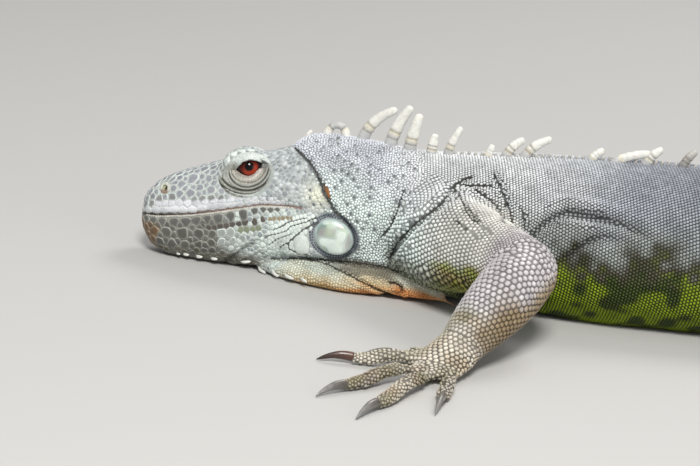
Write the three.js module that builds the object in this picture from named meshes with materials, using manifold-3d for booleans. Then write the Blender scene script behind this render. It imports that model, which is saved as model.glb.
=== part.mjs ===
// A resting green iguana, life size, as a still museum model.
// Millimetres, +Z up. The head points to -X, the tail runs to +X and the animal's left side faces -Y.
// It lies flat on the floor: chin, folded throat fan, belly, hands, feet and tail rest at z = 0.
// The flesh is modelled whole as lofted solids, joined, and then parted with thin cuts into its named parts.
import * as THREE from "three";
import { mergeVertices } from "three/addons/utils/BufferGeometryUtils.js";
import Module from "manifold-3d";

const wasm = await Module();
wasm.setup();

// ---------------------------------------------------------------- driving dimensions

const CUT = 0.3; // gap left between two parts
const FAR = 2000; // reach of a cutting block
const BODY_SIDES = 16;
const LIMB_SIDES = 9;
const DIGIT_SIDES = 5;
const LIMBS_END = 520; // no limb reaches further back than this
const LUMP_FACETS = [10, 5];
const JOINT_FACETS = [8, 4];
const PALM_SIDES = 6;
const LEFT = -1;
const RIGHT = 1;
const SIDES = [LEFT, RIGHT];

const TOTAL_LENGTH = 1330; // snout to tail tip, along the back
const HEAD_LEAN = -11; // degrees about the long axis: the top of the head leans to the animal's right
const LEAN_FROM = 70; // the lean fades from here ...
const LEAN_TO = 130; // ... to nothing here

// Cross-sections along the back. at: distance from the snout. top, wide, low: heights of the back,
// of the widest place and of the underside. half: half width.
// roof, keel: how square the upper and lower halves are (2 is an ellipse).
const SECTIONS = [
  { at: 0, top: 22.6, wide: 18.6, low: 14.6, half: 3, roof: 2, keel: 2 },
  { at: 1, top: 26.4, wide: 19, low: 11.8, half: 6, roof: 2.1, keel: 2.1 },
  { at: 3.7, top: 30.6, wide: 20, low: 6.6, half: 9, roof: 2.2, keel: 2.2 },
  { at: 7.3, top: 33.9, wide: 21, low: 2.7, half: 11, roof: 2.3, keel: 2.3 },
  { at: 12.3, top: 37.3, wide: 21.5, low: 0.3, half: 13, roof: 2.4, keel: 2.4 },
  { at: 18.5, top: 40.2, wide: 22, low: -0.8, half: 14.7, roof: 2.4, keel: 2.4 },
  { at: 26, top: 43.3, wide: 22.5, low: -1.2, half: 16.5, roof: 2.4, keel: 2.4 },
  { at: 33, top: 46, wide: 23.5, low: -1.6, half: 18.1, roof: 2.4, keel: 2.4 },
  { at: 40, top: 49, wide: 25, low: -1.8, half: 19.7, roof: 2.5, keel: 2.4 },
  { at: 50, top: 52.2, wide: 27.5, low: -1.6, half: 22, roof: 2.6, keel: 2.4 },
  { at: 60, top: 55, wide: 29.3, low: -0.6, half: 24.2, roof: 2.5, keel: 2.3 },
  { at: 65.5, top: 57, wide: 29.8, low: 0.2, half: 25.3, roof: 2.3, keel: 2.2 },
  { at: 69, top: 60.6, wide: 30, low: 0.8, half: 26, roof: 2, keel: 2.2 },
  { at: 74, top: 63.6, wide: 30, low: 1.4, half: 26.8, roof: 1.9, keel: 2.1 },
  { at: 84, top: 65.2, wide: 30, low: 2.2, half: 27.8, roof: 1.8, keel: 2 },
  { at: 98, top: 65, wide: 30.5, low: 2.6, half: 28.6, roof: 1.8, keel: 2 },
  { at: 114, top: 64, wide: 31.5, low: 1.5, half: 31.5, roof: 1.85, keel: 2 },
  { at: 130, top: 63.2, wide: 31.5, low: -1, half: 37, roof: 1.9, keel: 2.1 },
  { at: 148, top: 64, wide: 31, low: -3, half: 42.5, roof: 1.9, keel: 2.2 },
  { at: 175, top: 66, wide: 30, low: -4.8, half: 48, roof: 1.9, keel: 2.3 },
  { at: 215, top: 68.5, wide: 29, low: -6, half: 53, roof: 1.85, keel: 2.3 },
  { at: 260, top: 69, wide: 28.5, low: -6, half: 54.5, roof: 1.85, keel: 2.3 },
  { at: 305, top: 66, wide: 28.5, low: -5.5, half: 50, roof: 1.85, keel: 2.2 },
  { at: 345, top: 60.5, wide: 28, low: -4.8, half: 42, roof: 1.9, keel: 2.1 },
  { at: 375, top: 54, wide: 26.5, low: -3.8, half: 34, roof: 1.9, keel: 2.1 },
  { at: 402, top: 48, wide: 24, low: -2.8, half: 26.5, roof: 1.9, keel: 2 },
  { at: 440, top: 41, wide: 21, low: -2.2, half: 21, roof: 1.8, keel: 2 },
  { at: 500, top: 34.5, wide: 17.5, low: -1.6, half: 17, roof: 1.8, keel: 2 },
  { at: 600, top: 27, wide: 13.5, low: -1.2, half: 13, roof: 1.8, keel: 2 },
  { at: 720, top: 21, wide: 10.5, low: -0.9, half: 10, roof: 1.8, keel: 2 },
  { at: 860, top: 15.6, wide: 7.8, low: -0.7, half: 7.3, roof: 1.9, keel: 2 },
  { at: 1000, top: 11.2, wide: 5.6, low: -0.5, half: 5.2, roof: 2, keel: 2 },
  { at: 1150, top: 7.2, wide: 3.6, low: -0.3, half: 3.4, roof: 2, keel: 2 },
  { at: 1270, top: 4.2, wide: 2.1, low: -0.2, half: 2, roof: 2, keel: 2 },
  { at: TOTAL_LENGTH, top: 2, wide: 1, low: -0.1, half: 0.9, roof: 2, keel: 2 },
];

// Which way the back runs, in degrees from +X towards +Y, seen from above.
const HEADINGS = [
  { at: 0, turn: 0 },
  { at: 95, turn: 0 },
  { at: 150, turn: 4 },
  { at: 300, turn: 6 },
  { at: 400, turn: 1 },
  { at: 560, turn: -14 },
  { at: 760, turn: -27 },
  { at: 960, turn: -18 },
  { at: 1140, turn: 12 },
  { at: TOTAL_LENGTH, turn: 42 },
];

// Where the back is parted, and how far each cut leans back at the belly, in degrees.
const HEAD_CUT = { at: 68, lean: 35 };
const BODY_CUTS = [
  { at: 128, lean: 0 },
  { at: 240, lean: 0 },
  { at: 338, lean: 0 },
  { at: 404, lean: 0 },
  { at: 560, lean: 0 },
  { at: 740, lean: 0 },
  { at: 940, lean: 0 },
  { at: 1150, lean: 0 },
];
const BODY_NAMES = [
  "neck", "trunk_front", "trunk_middle", "pelvis", "tail_1", "tail_2", "tail_3", "tail_4", "tail_5",
];

// The line of the mouth, from its front to its corner, as distance from the snout and height.
const MOUTH = [[-6, 16.9], [8, 17.9], [23, 20.5], [42, 25.6], [55, 29.1], [74, 30]];

const EYE = { at: 47.5, out: 13.2, up: 45, size: [6.4, 6.4, 6.4] };
const ORBIT = { at: 46.8, out: 11.8, up: 45.4, size: [12.2, 7.6, 8.6] };
const JOWL = { at: 81, out: 18.2, up: 20, size: [19, 11.4, 16.5] };
const EAR = { at: 85.8, out: 26.1, up: 38.9, size: [3.4, 1.4, 5.6], turn: 6 };
const SHIELD = { at: 90, out: 28.6, up: 19, size: [9.6, 2.6, 9.4], turn: 2 };

// The throat fan lies folded on the floor under the jaw, turned to the left, as two long folds.
const FAN_SIDES = 8;
const FAN_FOLDS = [
  {
    line: [[58, -9, 3], [72, -17, 4], [90, -23, 4.2], [108, -26.5, 4], [122, -27, 3]],
    thick: [[4, 2.6], [6.5, 4], [7.5, 4.4], [6.5, 4], [3, 2.4]],
  },
  {
    line: [[80, -18, 7.5], [96, -23, 7.6], [112, -25.5, 6.6], [128, -28, 4.6], [146, -32, 1.6]],
    thick: [[4.5, 3], [6, 3.8], [6.5, 4.2], [5.5, 3.6], [1.2, 0.9]],
  },
];

// Limbs, for the left side with y as the distance from the body's middle; the right side mirrors them.
// Each joint has its place and its half width and half height.
const FORELEG = {
  socketAt: 136,
  line: [
    [126, 18, 36], [138, 31, 32], [157, 54, 33], [174.5, 75, 33],
    [165, 93, 26], [156, 106, 18], [148, 117, 10],
  ],
  thick: [[18, 20], [21, 22.5], [18, 18.5], [14.2, 14.8], [14.2, 14.4], [12.6, 11.8], [10, 8.4]],
  joint: 3,
  palm: {
    line: [[148, 117, 10], [142.5, 125.5, 6.2], [138, 133, 3.9]],
    thick: [[9.8, 8.2], [12, 6.6], [12.5, 4.2]],
  },
  digits: [
    { root: [139, 118.5], aim: -10, length: 17, thick: 3.1 },
    { root: [135.5, 123.5], aim: 5, length: 32, thick: 3.4 },
    { root: [134, 130.5], aim: 44, length: 45, thick: 3.4 },
    { root: [138.5, 136], aim: 61, length: 49, thick: 3.5 },
    { root: [146, 133.5], aim: 80, length: 29, thick: 3.5 },
  ],
  reachForward: { [LEFT]: 0, [RIGHT]: 9 },
};
const HINDLEG = {
  socketAt: 350,
  line: [
    [362, 14, 30], [350, 30, 31], [333, 60, 31], [314, 87, 26],
    [334, 95, 22], [356, 101, 15], [374, 106, 10],
  ],
  thick: [[19, 21], [21, 20], [18, 17.5], [14, 14], [13.2, 13], [11, 10.4], [8.6, 7.6]],
  joint: 3,
  palm: {
    line: [[374, 106, 10], [368, 116, 6], [358, 126, 3.7]],
    thick: [[8.6, 7.6], [10.8, 6.4], [12.5, 4.1]],
  },
  digits: [
    { root: [353, 118.5], aim: 2, length: 20, thick: 3 },
    { root: [350.5, 123], aim: 17, length: 32, thick: 3.2 },
    { root: [350.5, 128.5], aim: 34, length: 48, thick: 3.3 },
    { root: [355, 132.5], aim: 50, length: 62, thick: 3.4 },
    { root: [366, 128], aim: 84, length: 37, thick: 3.3 },
  ],
  reachForward: { [LEFT]: 0, [RIGHT]: -6 },
};
const KNUCKLE_RISE = 2.6; // how far a finger arches off the floor
const CLAW = { length: 14, droop: 0.5, base: 2.3, sides: 4 };

// Crest spines: place along the back, height, thickness at the root, and how far the tip leans back.
const CREST = [
  { at: 72, tall: 5, thick: 2.2, lean: 3 },
  { at: 97.5, tall: 15, thick: 3, lean: 14 },
  { at: 110.5, tall: 18.5, thick: 3.2, lean: 8 },
  { at: 119.5, tall: 16.5, thick: 3.2, lean: 3 },
  { at: 129.5, tall: 8.5, thick: 2.7, lean: 1 },
  { at: 137, tall: 13, thick: 2.3, lean: 5 },
  { at: 155.5, tall: 5, thick: 2.2, lean: 2 },
  { at: 163.5, tall: 8.5, thick: 2.6, lean: 8 },
  { at: 172, tall: 9.5, thick: 2.7, lean: 12 },
  { at: 203, tall: 5.5, thick: 2.4, lean: 4 },
  { at: 214, tall: 5.5, thick: 2.8, lean: 14 },
  { at: 229, tall: 7, thick: 2.6, lean: 7 },
  { at: 246, tall: 7.5, thick: 2.4, lean: 6 },
  { at: 262, tall: 6, thick: 2.4, lean: 7 },
  { at: 279, tall: 7, thick: 2.3, lean: 5 },
  { at: 297, tall: 5.5, thick: 2.3, lean: 6 },
  { at: 316, tall: 5, thick: 2.2, lean: 5 },
  { at: 350, tall: 4.5, thick: 2.1, lean: 4 },
  { at: 380, tall: 4, thick: 2, lean: 4 },
];
// One bent spine arches over and meets the neck again with its tip.
const ARCHED_SPINE = { from: 82, to: 91.5, tall: 4.6, thick: 1.5 };
const SPINE_SIDES = 4;
const SPINE_ROOT = 3; // how deep a spine is rooted in the back

const SKIN = { color: 0x9aa39a, roughness: 0.72, metalness: 0 };
const MATERIALS = {
  skin: new THREE.MeshStandardMaterial(SKIN),
  limb: new THREE.MeshStandardMaterial({ ...SKIN, color: 0x8f8a74 }),
  fan: new THREE.MeshStandardMaterial({ ...SKIN, color: 0xb5946a }),
  eye: new THREE.MeshStandardMaterial({ color: 0x7c2114, roughness: 0.12, metalness: 0 }),
  shield: new THREE.MeshStandardMaterial({ color: 0xc3d6cf, roughness: 0.4, metalness: 0 }),
  ear: new THREE.MeshStandardMaterial({ color: 0x9d8a6c, roughness: 0.55, metalness: 0 }),
  claw: new THREE.MeshStandardMaterial({ color: 0x5d5f66, roughness: 0.4, metalness: 0 }),
};

// ---------------------------------------------------------------- curves

// A smooth curve through rows of one column, which never overshoots them (a monotone cubic).
function curveThrough(rows, column) {
  const x = rows.map((row) => row.at);
  const y = rows.map((row) => row[column]);
  const slope = x.slice(1).map((_, i) => (y[i + 1] - y[i]) / (x[i + 1] - x[i]));
  const tangent = y.map((_, i) => {
    if (i === 0) return slope[0];
    if (i === y.length - 1) return slope[i - 1];
    const [before, after] = [slope[i - 1], slope[i]];
    return before * after <= 0 ? 0 : (2 * before * after) / (before + after);
  });
  return (at) => {
    const clamped = Math.min(Math.max(at, x[0]), x[x.length - 1]);
    let i = 0;
    while (i < x.length - 2 && clamped > x[i + 1]) i += 1;
    const width = x[i + 1] - x[i];
    const t = (clamped - x[i]) / width;
    const [t2, t3] = [t * t, t * t * t];
    return (2 * t3 - 3 * t2 + 1) * y[i] + (t3 - 2 * t2 + t) * width * tangent[i]
      + (3 * t2 - 2 * t3) * y[i + 1] + (t3 - t2) * width * tangent[i + 1];
  };
}

const section = Object.fromEntries(
  ["top", "wide", "low", "half", "roof", "keel"].map((column) => [column, curveThrough(SECTIONS, column)]),
);
const headingAt = curveThrough(HEADINGS, "turn");

// The middle line of the back, added up from its headings one millimetre at a time.
const middleLine = [new THREE.Vector3()];
for (let at = 0; at < TOTAL_LENGTH; at += 1) {
  const turn = THREE.MathUtils.degToRad(headingAt(at + 0.5));
  const step = new THREE.Vector3(Math.cos(turn), Math.sin(turn), 0);
  middleLine.push(middleLine[at].clone().add(step));
}

// Place and direction of the middle line at a distance from the snout.
function spineAt(at) {
  const index = Math.min(Math.floor(Math.max(at, 0)), TOTAL_LENGTH - 1);
  const place = middleLine[index].clone().lerp(middleLine[index + 1], at - index);
  const turn = THREE.MathUtils.degToRad(headingAt(at));
  return { place, along: new THREE.Vector3(Math.cos(turn), Math.sin(turn), 0) };
}

// The head's lean at a distance from the snout, in radians: full on the head, none past the neck.
function leanAt(at) {
  return THREE.MathUtils.degToRad(HEAD_LEAN) * (1 - THREE.MathUtils.smoothstep(at, LEAN_FROM, LEAN_TO));
}

// A point of the body, from the distance along the back, the distance to its right and the height.
function bodyPoint(at, side, height) {
  const { place, along } = spineAt(at);
  const lean = leanAt(at);
  const out = side * Math.cos(lean) - height * Math.sin(lean);
  const up = side * Math.sin(lean) + height * Math.cos(lean);
  return new THREE.Vector3(place.x - along.y * out, place.y + along.x * out, up);
}

// ---------------------------------------------------------------- solids

// A three.js geometry as a solid, with the vertices that it shares merged.
function toSolid(geometry) {
  const bare = new THREE.BufferGeometry();
  bare.setAttribute("position", geometry.getAttribute("position"));
  if (geometry.index) bare.setIndex(geometry.index);
  const merged = mergeVertices(bare, 1e-4);
  const vertProperties = new Float32Array(merged.getAttribute("position").array);
  const triVerts = new Uint32Array(merged.index.array);
  return new wasm.Manifold(new wasm.Mesh({ numProp: 3, vertProperties, triVerts }));
}

// A solid back as a three.js geometry.
function toGeometry(solid) {
  const mesh = solid.getMesh();
  const geometry = new THREE.BufferGeometry();
  geometry.setAttribute("position", new THREE.BufferAttribute(new Float32Array(mesh.vertProperties), 3));
  geometry.setIndex(new THREE.BufferAttribute(new Uint32Array(mesh.triVerts), 1));
  geometry.computeVertexNormals();
  return geometry;
}

// A closed skin over rings of points, with a fan at each end. Rings run anticlockwise seen along the path.
function loft(rings) {
  const count = rings[0].length;
  const points = rings.flat();
  const faces = [];
  for (let i = 0; i < rings.length - 1; i += 1) {
    for (let j = 0; j < count; j += 1) {
      const [a, b] = [i * count + j, i * count + ((j + 1) % count)];
      faces.push(a, a + count, b, b, a + count, b + count);
    }
  }
  for (const [ring, first] of [[rings[0], 0], [rings.at(-1), (rings.length - 1) * count]]) {
    const middle = ring.reduce((sum, point) => sum.add(point), new THREE.Vector3()).divideScalar(count);
    points.push(middle);
    for (let j = 0; j < count; j += 1) {
      const [a, b] = [first + j, first + ((j + 1) % count)];
      faces.push(points.length - 1, ...(first === 0 ? [a, b] : [b, a]));
    }
  }
  const geometry = new THREE.BufferGeometry().setFromPoints(points);
  geometry.setIndex(faces);
  const solid = toSolid(geometry);
  if (solid.volume() > 0) return solid;
  geometry.setIndex(faces.map((_, k) => faces[k - (k % 3) + (2 - (k % 3))]));
  return toSolid(geometry);
}

// One ring of the body: an upper and a lower half of their own squareness, flat where they meet the floor.
function bodyRing(at, grow, floor) {
  const size = Object.fromEntries(Object.entries(section).map(([name, curve]) => [name, curve(at)]));
  return Array.from({ length: BODY_SIDES }, (_, k) => {
    const angle = (2 * Math.PI * k) / BODY_SIDES;
    const [across, rise] = [Math.cos(angle), Math.sin(angle)];
    const power = 2 / (rise >= 0 ? size.roof : size.keel);
    const side = (size.half + grow) * Math.sign(across) * Math.abs(across) ** power;
    const reach = rise >= 0 ? size.top + grow - size.wide : size.wide - size.low + grow;
    const height = size.wide + reach * Math.sign(rise) * Math.abs(rise) ** power;
    const point = bodyPoint(at, side, height);
    point.z = Math.max(point.z, floor);
    return point;
  });
}

// The whole body from snout to tail tip, grown by a little where it is used as a cutter.
function bodySolid(grow = 0, floor = 0, to = TOTAL_LENGTH) {
  const steps = [0, 1.2, 4.5, 10, 18, 30, 43, 56, 65, 69.5, 76, 90, 110];
  for (let at = 132; at < 400; at += 27) steps.push(at);
  for (let at = 405; at < TOTAL_LENGTH; at += 100) steps.push(at);
  steps.push(TOTAL_LENGTH);
  return loft(steps.filter((at) => at <= to).map((at) => bodyRing(at, grow, floor)));
}

// A rounded bar along a smooth line through its joints, with a half width and half height at each joint.
// Its width lies level, or along a given direction where the line runs steeply.
function bar(line, thick, { sides, steps, level }) {
  const joints = line.map((point) => new THREE.Vector3(...point));
  const path = new THREE.CatmullRomCurve3(joints, false, "centripetal");
  const widths = thick.map(([wide, high], i) => new THREE.Vector3(wide, high, i));
  const sizes = new THREE.CatmullRomCurve3(widths, false, "catmullrom", 0.5);
  const rings = [];
  for (let i = 0; i <= steps; i += 1) {
    const place = path.getPoint(i / steps);
    const tangent = path.getTangent(i / steps);
    const size = sizes.getPoint(i / steps);
    const across = level ?? new THREE.Vector3(0, 0, 1).cross(tangent).normalize();
    const up = tangent.clone().cross(across).normalize();
    rings.push(Array.from({ length: sides }, (_, k) => {
      const angle = (2 * Math.PI * (k + 0.5)) / sides;
      const point = place.clone()
        .addScaledVector(across, size.x * Math.cos(angle))
        .addScaledVector(up, size.y * Math.sin(angle));
      point.z = Math.max(point.z, 0);
      return point;
    }));
  }
  return loft(rings);
}

// An ellipsoid on one side of the head, leaning with it.
function headLump({ at, out, up, size, turn = 0 }, side, grow = 0) {
  const radii = size.map((radius) => radius + grow);
  const ball = new THREE.SphereGeometry(1, ...LUMP_FACETS);
  const place = bodyPoint(at, side * out, up);
  const matrix = new THREE.Matrix4().compose(
    place,
    new THREE.Quaternion().setFromEuler(
      new THREE.Euler(leanAt(at), 0, THREE.MathUtils.degToRad(-side * turn)),
    ),
    new THREE.Vector3(...radii),
  );
  return toSolid(ball.applyMatrix4(matrix));
}

// A block that holds everything behind the plane through a point, facing back along a direction.
function blockBehind(place, direction) {
  const box = new THREE.BoxGeometry(FAR, FAR, FAR).translate(FAR / 2, 0, 0);
  const forward = new THREE.Vector3(1, 0, 0);
  const turn = new THREE.Quaternion().setFromUnitVectors(forward, direction.clone().normalize());
  return toSolid(box.applyQuaternion(turn).translate(place.x, place.y, place.z));
}

// Splits a solid by a plane into the part in front and the part behind, leaving the cut's gap.
function split(solid, place, direction) {
  const unit = direction.clone().normalize();
  const ahead = blockBehind(place.clone().addScaledVector(unit, CUT / 2), unit);
  const before = blockBehind(place.clone().addScaledVector(unit, -CUT / 2), unit.clone().negate());
  return [solid.intersect(before), solid.intersect(ahead)];
}

// The largest of a solid's separate bodies: trims crumbs that a slanting cut can leave.
function largestBody(solid) {
  return solid.decompose().reduce((best, body) => (body.volume() > best.volume() ? body : best));
}

// A plane across the body at a distance from the snout, leaning back towards the belly.
function cutPlane({ at, lean }) {
  const { place, along } = spineAt(at);
  const tilt = THREE.MathUtils.degToRad(lean);
  const direction = along.clone().multiplyScalar(Math.cos(tilt)).add(new THREE.Vector3(0, 0, Math.sin(tilt)));
  return { place: place.clone().setZ(section.top(at)), direction };
}

// ---------------------------------------------------------------- crest

// A pointed, slightly curved spine, rooted in the back and leaning towards the tail.
function spineSolid({ at, tall, thick, lean }) {
  const { along } = spineAt(at);
  const root = bodyPoint(at, 0, section.top(at) - SPINE_ROOT);
  const shape = [[0, 1], [0.55, 0.8], [1, 0.28]];
  const across = new THREE.Vector3(-along.y, along.x, 0);
  const rings = shape.map(([share, width]) => {
    const middle = root.clone()
      .addScaledVector(new THREE.Vector3(0, 0, 1), (tall + SPINE_ROOT) * share)
      .addScaledVector(along, lean * share ** 1.6);
    return Array.from({ length: SPINE_SIDES }, (_, k) => {
      const angle = (2 * Math.PI * k) / SPINE_SIDES;
      return middle.clone()
        .addScaledVector(along, thick * width * Math.cos(angle))
        .addScaledVector(across, thick * 0.72 * width * Math.sin(angle));
    });
  });
  return loft(rings);
}

// The spine that bends right over, from its root back to its tip.
function archedSpineSolid({ from, to, tall, thick }) {
  const shape = [[0, -SPINE_ROOT], [0.08, 0.45 * tall], [0.5, tall], [0.92, 0.45 * tall], [1, -SPINE_ROOT]];
  const line = shape.map(([share, height]) => {
    const at = from + (to - from) * share;
    return bodyPoint(at, 0, section.top(at) + height).toArray();
  });
  const { along } = spineAt((from + to) / 2);
  const level = new THREE.Vector3(-along.y, along.x, 0);
  return bar(line, line.map(() => [thick, thick]), { sides: SPINE_SIDES, steps: 6, level });
}

// ---------------------------------------------------------------- head

// A slab between the mouth line, moved up or down a little, and a level far below or above it.
function mouthSlab(shift, level) {
  const outline = MOUTH.map(([at, up]) => new THREE.Vector2(at, up + shift));
  const [first, last] = [outline[0], outline.at(-1)];
  outline.push(new THREE.Vector2(last.x + 60, last.y), new THREE.Vector2(last.x + 60, level));
  outline.push(new THREE.Vector2(first.x - 60, level), new THREE.Vector2(first.x - 60, first.y));
  const geometry = new THREE.ExtrudeGeometry(new THREE.Shape(outline), { depth: 160, bevelEnabled: false });
  geometry.rotateX(Math.PI / 2).translate(0, 80, 0);
  geometry.rotateX(leanAt(0));
  return toSolid(geometry);
}

// The head with its brows, jowls and sockets, and the pieces set into it.
function makeHead(wholeHead) {
  let flesh = wholeHead;
  const pieces = [];
  for (const side of SIDES) {
    const name = side === LEFT ? "left" : "right";
    for (const lump of [JOWL, ORBIT]) flesh = flesh.add(headLump(lump, side));
    for (const [part, lump] of [["eye", EYE], ["ear", EAR]]) {
      flesh = flesh.subtract(headLump(lump, side, CUT));
      pieces.push([`${part}_${name}`, headLump(lump, side), part]);
    }
  }
  return { flesh, pieces };
}

// ---------------------------------------------------------------- limbs

// A claw: a curved cone that leaves the tip of a digit and comes down to the floor.
function clawSolid(root, direction, height) {
  const across = new THREE.Vector3(-direction.y, direction.x, 0);
  const shape = [[0, 1], [0.4, 0.8], [0.75, 0.5], [1, 0.22]];
  const rings = shape.map(([share, width]) => {
    const drop = (height - CLAW.droop) * share ** 1.7;
    const middle = root.clone().addScaledVector(direction, CLAW.length * share);
    middle.z = height - drop + 0.4 * CLAW.base * Math.sin(Math.PI * share);
    return Array.from({ length: CLAW.sides }, (_, k) => {
      const angle = (2 * Math.PI * (k + 0.5)) / CLAW.sides;
      const point = middle.clone().addScaledVector(across, CLAW.base * 0.8 * width * Math.cos(angle));
      point.z = Math.max(point.z + CLAW.base * width * Math.sin(angle), 0);
      return point;
    });
  });
  return loft(rings);
}

// One digit, arched off the floor, and its claw.
function makeDigit({ root, aim, length, thick }, placed) {
  const turn = THREE.MathUtils.degToRad(aim);
  const end = [root[0] - length * Math.cos(turn), root[1] + length * Math.sin(turn)];
  const start = [root[0] + 5 * Math.cos(turn), root[1] - 5 * Math.sin(turn)];
  const mix = (share) => [root[0] + (end[0] - root[0]) * share, root[1] + (end[1] - root[1]) * share];
  const tall = thick * 0.85;
  const line = [
    placed(...start, tall + 0.5),
    placed(...root, tall + 0.3),
    placed(...mix(0.45), tall + KNUCKLE_RISE),
    placed(...mix(0.8), tall * 0.95),
    placed(...end, tall * 0.88),
  ];
  const thickness = [[1, 0.95], [1.02, 0.98], [0.9, 0.92], [0.92, 0.9], [0.66, 0.76]];
  const flesh = bar(line, thickness.map((pair) => pair.map((share) => share * thick)), {
    sides: DIGIT_SIDES,
    steps: 4,
  });
  const tip = new THREE.Vector3(...line.at(-1));
  const direction = tip.clone().sub(new THREE.Vector3(...line.at(-2))).setZ(0).normalize();
  const clawRoot = tip.clone().addScaledVector(direction, CUT);
  const behindTip = split(flesh, tip, direction)[0];
  return { flesh: largestBody(behindTip), claw: clawSolid(clawRoot, direction, tip.z + 0.3) };
}

// A rounded knob that fills the outer side of a bent joint.
function jointBall(place, [wide, high]) {
  const ball = new THREE.SphereGeometry(1, ...JOINT_FACETS).scale(wide, wide, high);
  const points = ball.getAttribute("position");
  for (let i = 0; i < points.count; i += 1) points.setZ(i, Math.max(points.getZ(i), -place[2]));
  return toSolid(ball.translate(...place));
}

// A leg on one side: upper part, lower part, foot with its digits, and five claws.
// The upper and lower parts meet on the plane that halves the elbow or knee, inside a ball of its size.
function makeLeg(leg, side, names, bodyCutter) {
  const { place } = spineAt(leg.socketAt);
  const reach = leg.reachForward[side];
  const outermost = leg.line.at(-1)[1];
  // Moves the limb forward the further out it is, and mirrors it to its side.
  const placed = (x, y, z) => [x - reach * Math.min(y / outermost, 1.2), place.y + side * y, z];
  const line = leg.line.map((point) => placed(...point));
  const joint = leg.joint;
  const at = (index) => new THREE.Vector3(...line[index]);
  const [before, elbow, after, wrist] = [at(joint - 1), at(joint), at(joint + 1), at(line.length - 1)];
  const upperWay = elbow.clone().sub(before).normalize();
  const lowerWay = after.clone().sub(elbow).normalize();
  const wristWay = wrist.clone().sub(at(line.length - 2)).normalize();

  const facets = { sides: LIMB_SIDES, steps: 5 };
  const upperBar = bar(line.slice(0, joint + 1), leg.thick.slice(0, joint + 1), facets);
  const lowerBar = bar(line.slice(joint), leg.thick.slice(joint), facets);
  const elbowBall = jointBall(line[joint], leg.thick[joint]);
  const elbowBend = upperWay.clone().add(lowerWay);
  const upper = split(upperBar.add(elbowBall), elbow, elbowBend)[0].subtract(bodyCutter);
  const belowElbow = split(lowerBar.add(elbowBall), elbow, elbowBend)[1].subtract(bodyCutter);

  const palmLine = leg.palm.line.map((point) => placed(...point));
  const palmWay = new THREE.Vector3(...palmLine[1]).sub(wrist).normalize();
  const wristBend = wristWay.clone().add(palmWay);
  const wristBall = jointBall(line.at(-1), leg.thick.at(-1));
  const lower = split(belowElbow.add(wristBall), wrist, wristBend)[0];
  const palm = bar(palmLine, leg.palm.thick, { sides: PALM_SIDES, steps: 3 });
  const digits = leg.digits.map((digit) => makeDigit(digit, placed));
  let foot = split(palm.add(wristBall), wrist, wristBend)[1];
  for (const digit of digits) foot = foot.add(digit.flesh);
  const label = side === LEFT ? "left" : "right";
  const made = [
    [`${names[0]}_${label}`, largestBody(upper), "limb"],
    [`${names[1]}_${label}`, largestBody(lower), "limb"],
    [`${names[2]}_${label}`, largestBody(foot), "limb"],
  ];
  digits.forEach((digit, index) => {
    made.push([`claw_${names[2]}_${label}_${index + 1}`, digit.claw, "claw"]);
  });
  return made;
}

// ---------------------------------------------------------------- the model

const parts = []; // [name, solid, material]

const whole = bodySolid();
const bodyCutter = bodySolid(CUT, -1, LIMBS_END);
const headPlane = cutPlane(HEAD_CUT);
const [wholeHead, afterHead] = split(whole, headPlane.place, headPlane.direction);

// Each jowl belongs to the head, and carries its round shield across the head's rear edge.
const { flesh: headFlesh, pieces: headPieces } = makeHead(wholeHead);
let neckAndBack = afterHead;
let headAndJaw = headFlesh;
for (const side of SIDES) {
  neckAndBack = neckAndBack.subtract(headLump(JOWL, side, CUT));
  for (const solid of [headLump(EAR, side, CUT), headLump(SHIELD, side, CUT)]) {
    neckAndBack = neckAndBack.subtract(solid);
  }
  headAndJaw = headAndJaw.subtract(headLump(SHIELD, side, CUT));
  parts.push([`jowl_shield_${side === LEFT ? "left" : "right"}`, headLump(SHIELD, side), "shield"]);
}
const floorBlock = blockBehind(new THREE.Vector3(), new THREE.Vector3(0, 0, 1));
headAndJaw = headAndJaw.intersect(floorBlock);
parts.push(["head", largestBody(headAndJaw.intersect(mouthSlab(CUT / 2, 120))), "skin"]);
parts.push(["lower_jaw", largestBody(headAndJaw.intersect(mouthSlab(-CUT / 2, -60))), "skin"]);
parts.push(...headPieces);

let rest = neckAndBack;
for (const spine of CREST) rest = rest.add(spineSolid(spine));
rest = rest.add(archedSpineSolid(ARCHED_SPINE));
BODY_NAMES.forEach((name, index) => {
  const last = index === BODY_NAMES.length - 1;
  const plane = last ? null : cutPlane(BODY_CUTS[index]);
  const [front, behind] = last ? [rest, null] : split(rest, plane.place, plane.direction);
  parts.push([name, largestBody(front), "skin"]);
  rest = behind;
});

const headCutter = SIDES.reduce((solid, side) => solid.add(headLump(JOWL, side, CUT)), bodyCutter);
const folds = FAN_FOLDS.map(({ line, thick }) => bar(line, thick, { sides: FAN_SIDES, steps: 5 }));
const fan = folds.reduce((sum, fold) => sum.add(fold)).subtract(headCutter);
parts.push(["throat_fan", largestBody(fan), "fan"]);

for (const side of SIDES) {
  parts.push(...makeLeg(FORELEG, side, ["upper_arm", "forearm", "hand"], bodyCutter));
  parts.push(...makeLeg(HINDLEG, side, ["thigh", "shank", "foot"], bodyCutter));
}

const model = new THREE.Group();
for (const [name, solid, material] of parts) {
  const mesh = new THREE.Mesh(toGeometry(solid), MATERIALS[material]);
  mesh.name = name;
  model.add(mesh);
}

// The origin is on the floor, under the middle of the model's box.
const box = new THREE.Box3().setFromObject(model);
const middle = box.getCenter(new THREE.Vector3());
model.position.set(-middle.x, -middle.y, 0);

export default model;
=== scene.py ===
import math

import bmesh
import bpy
import numpy as np
from mathutils import Matrix, Vector
from mathutils.bvhtree import BVHTree
from mathutils.kdtree import KDTree


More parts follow.
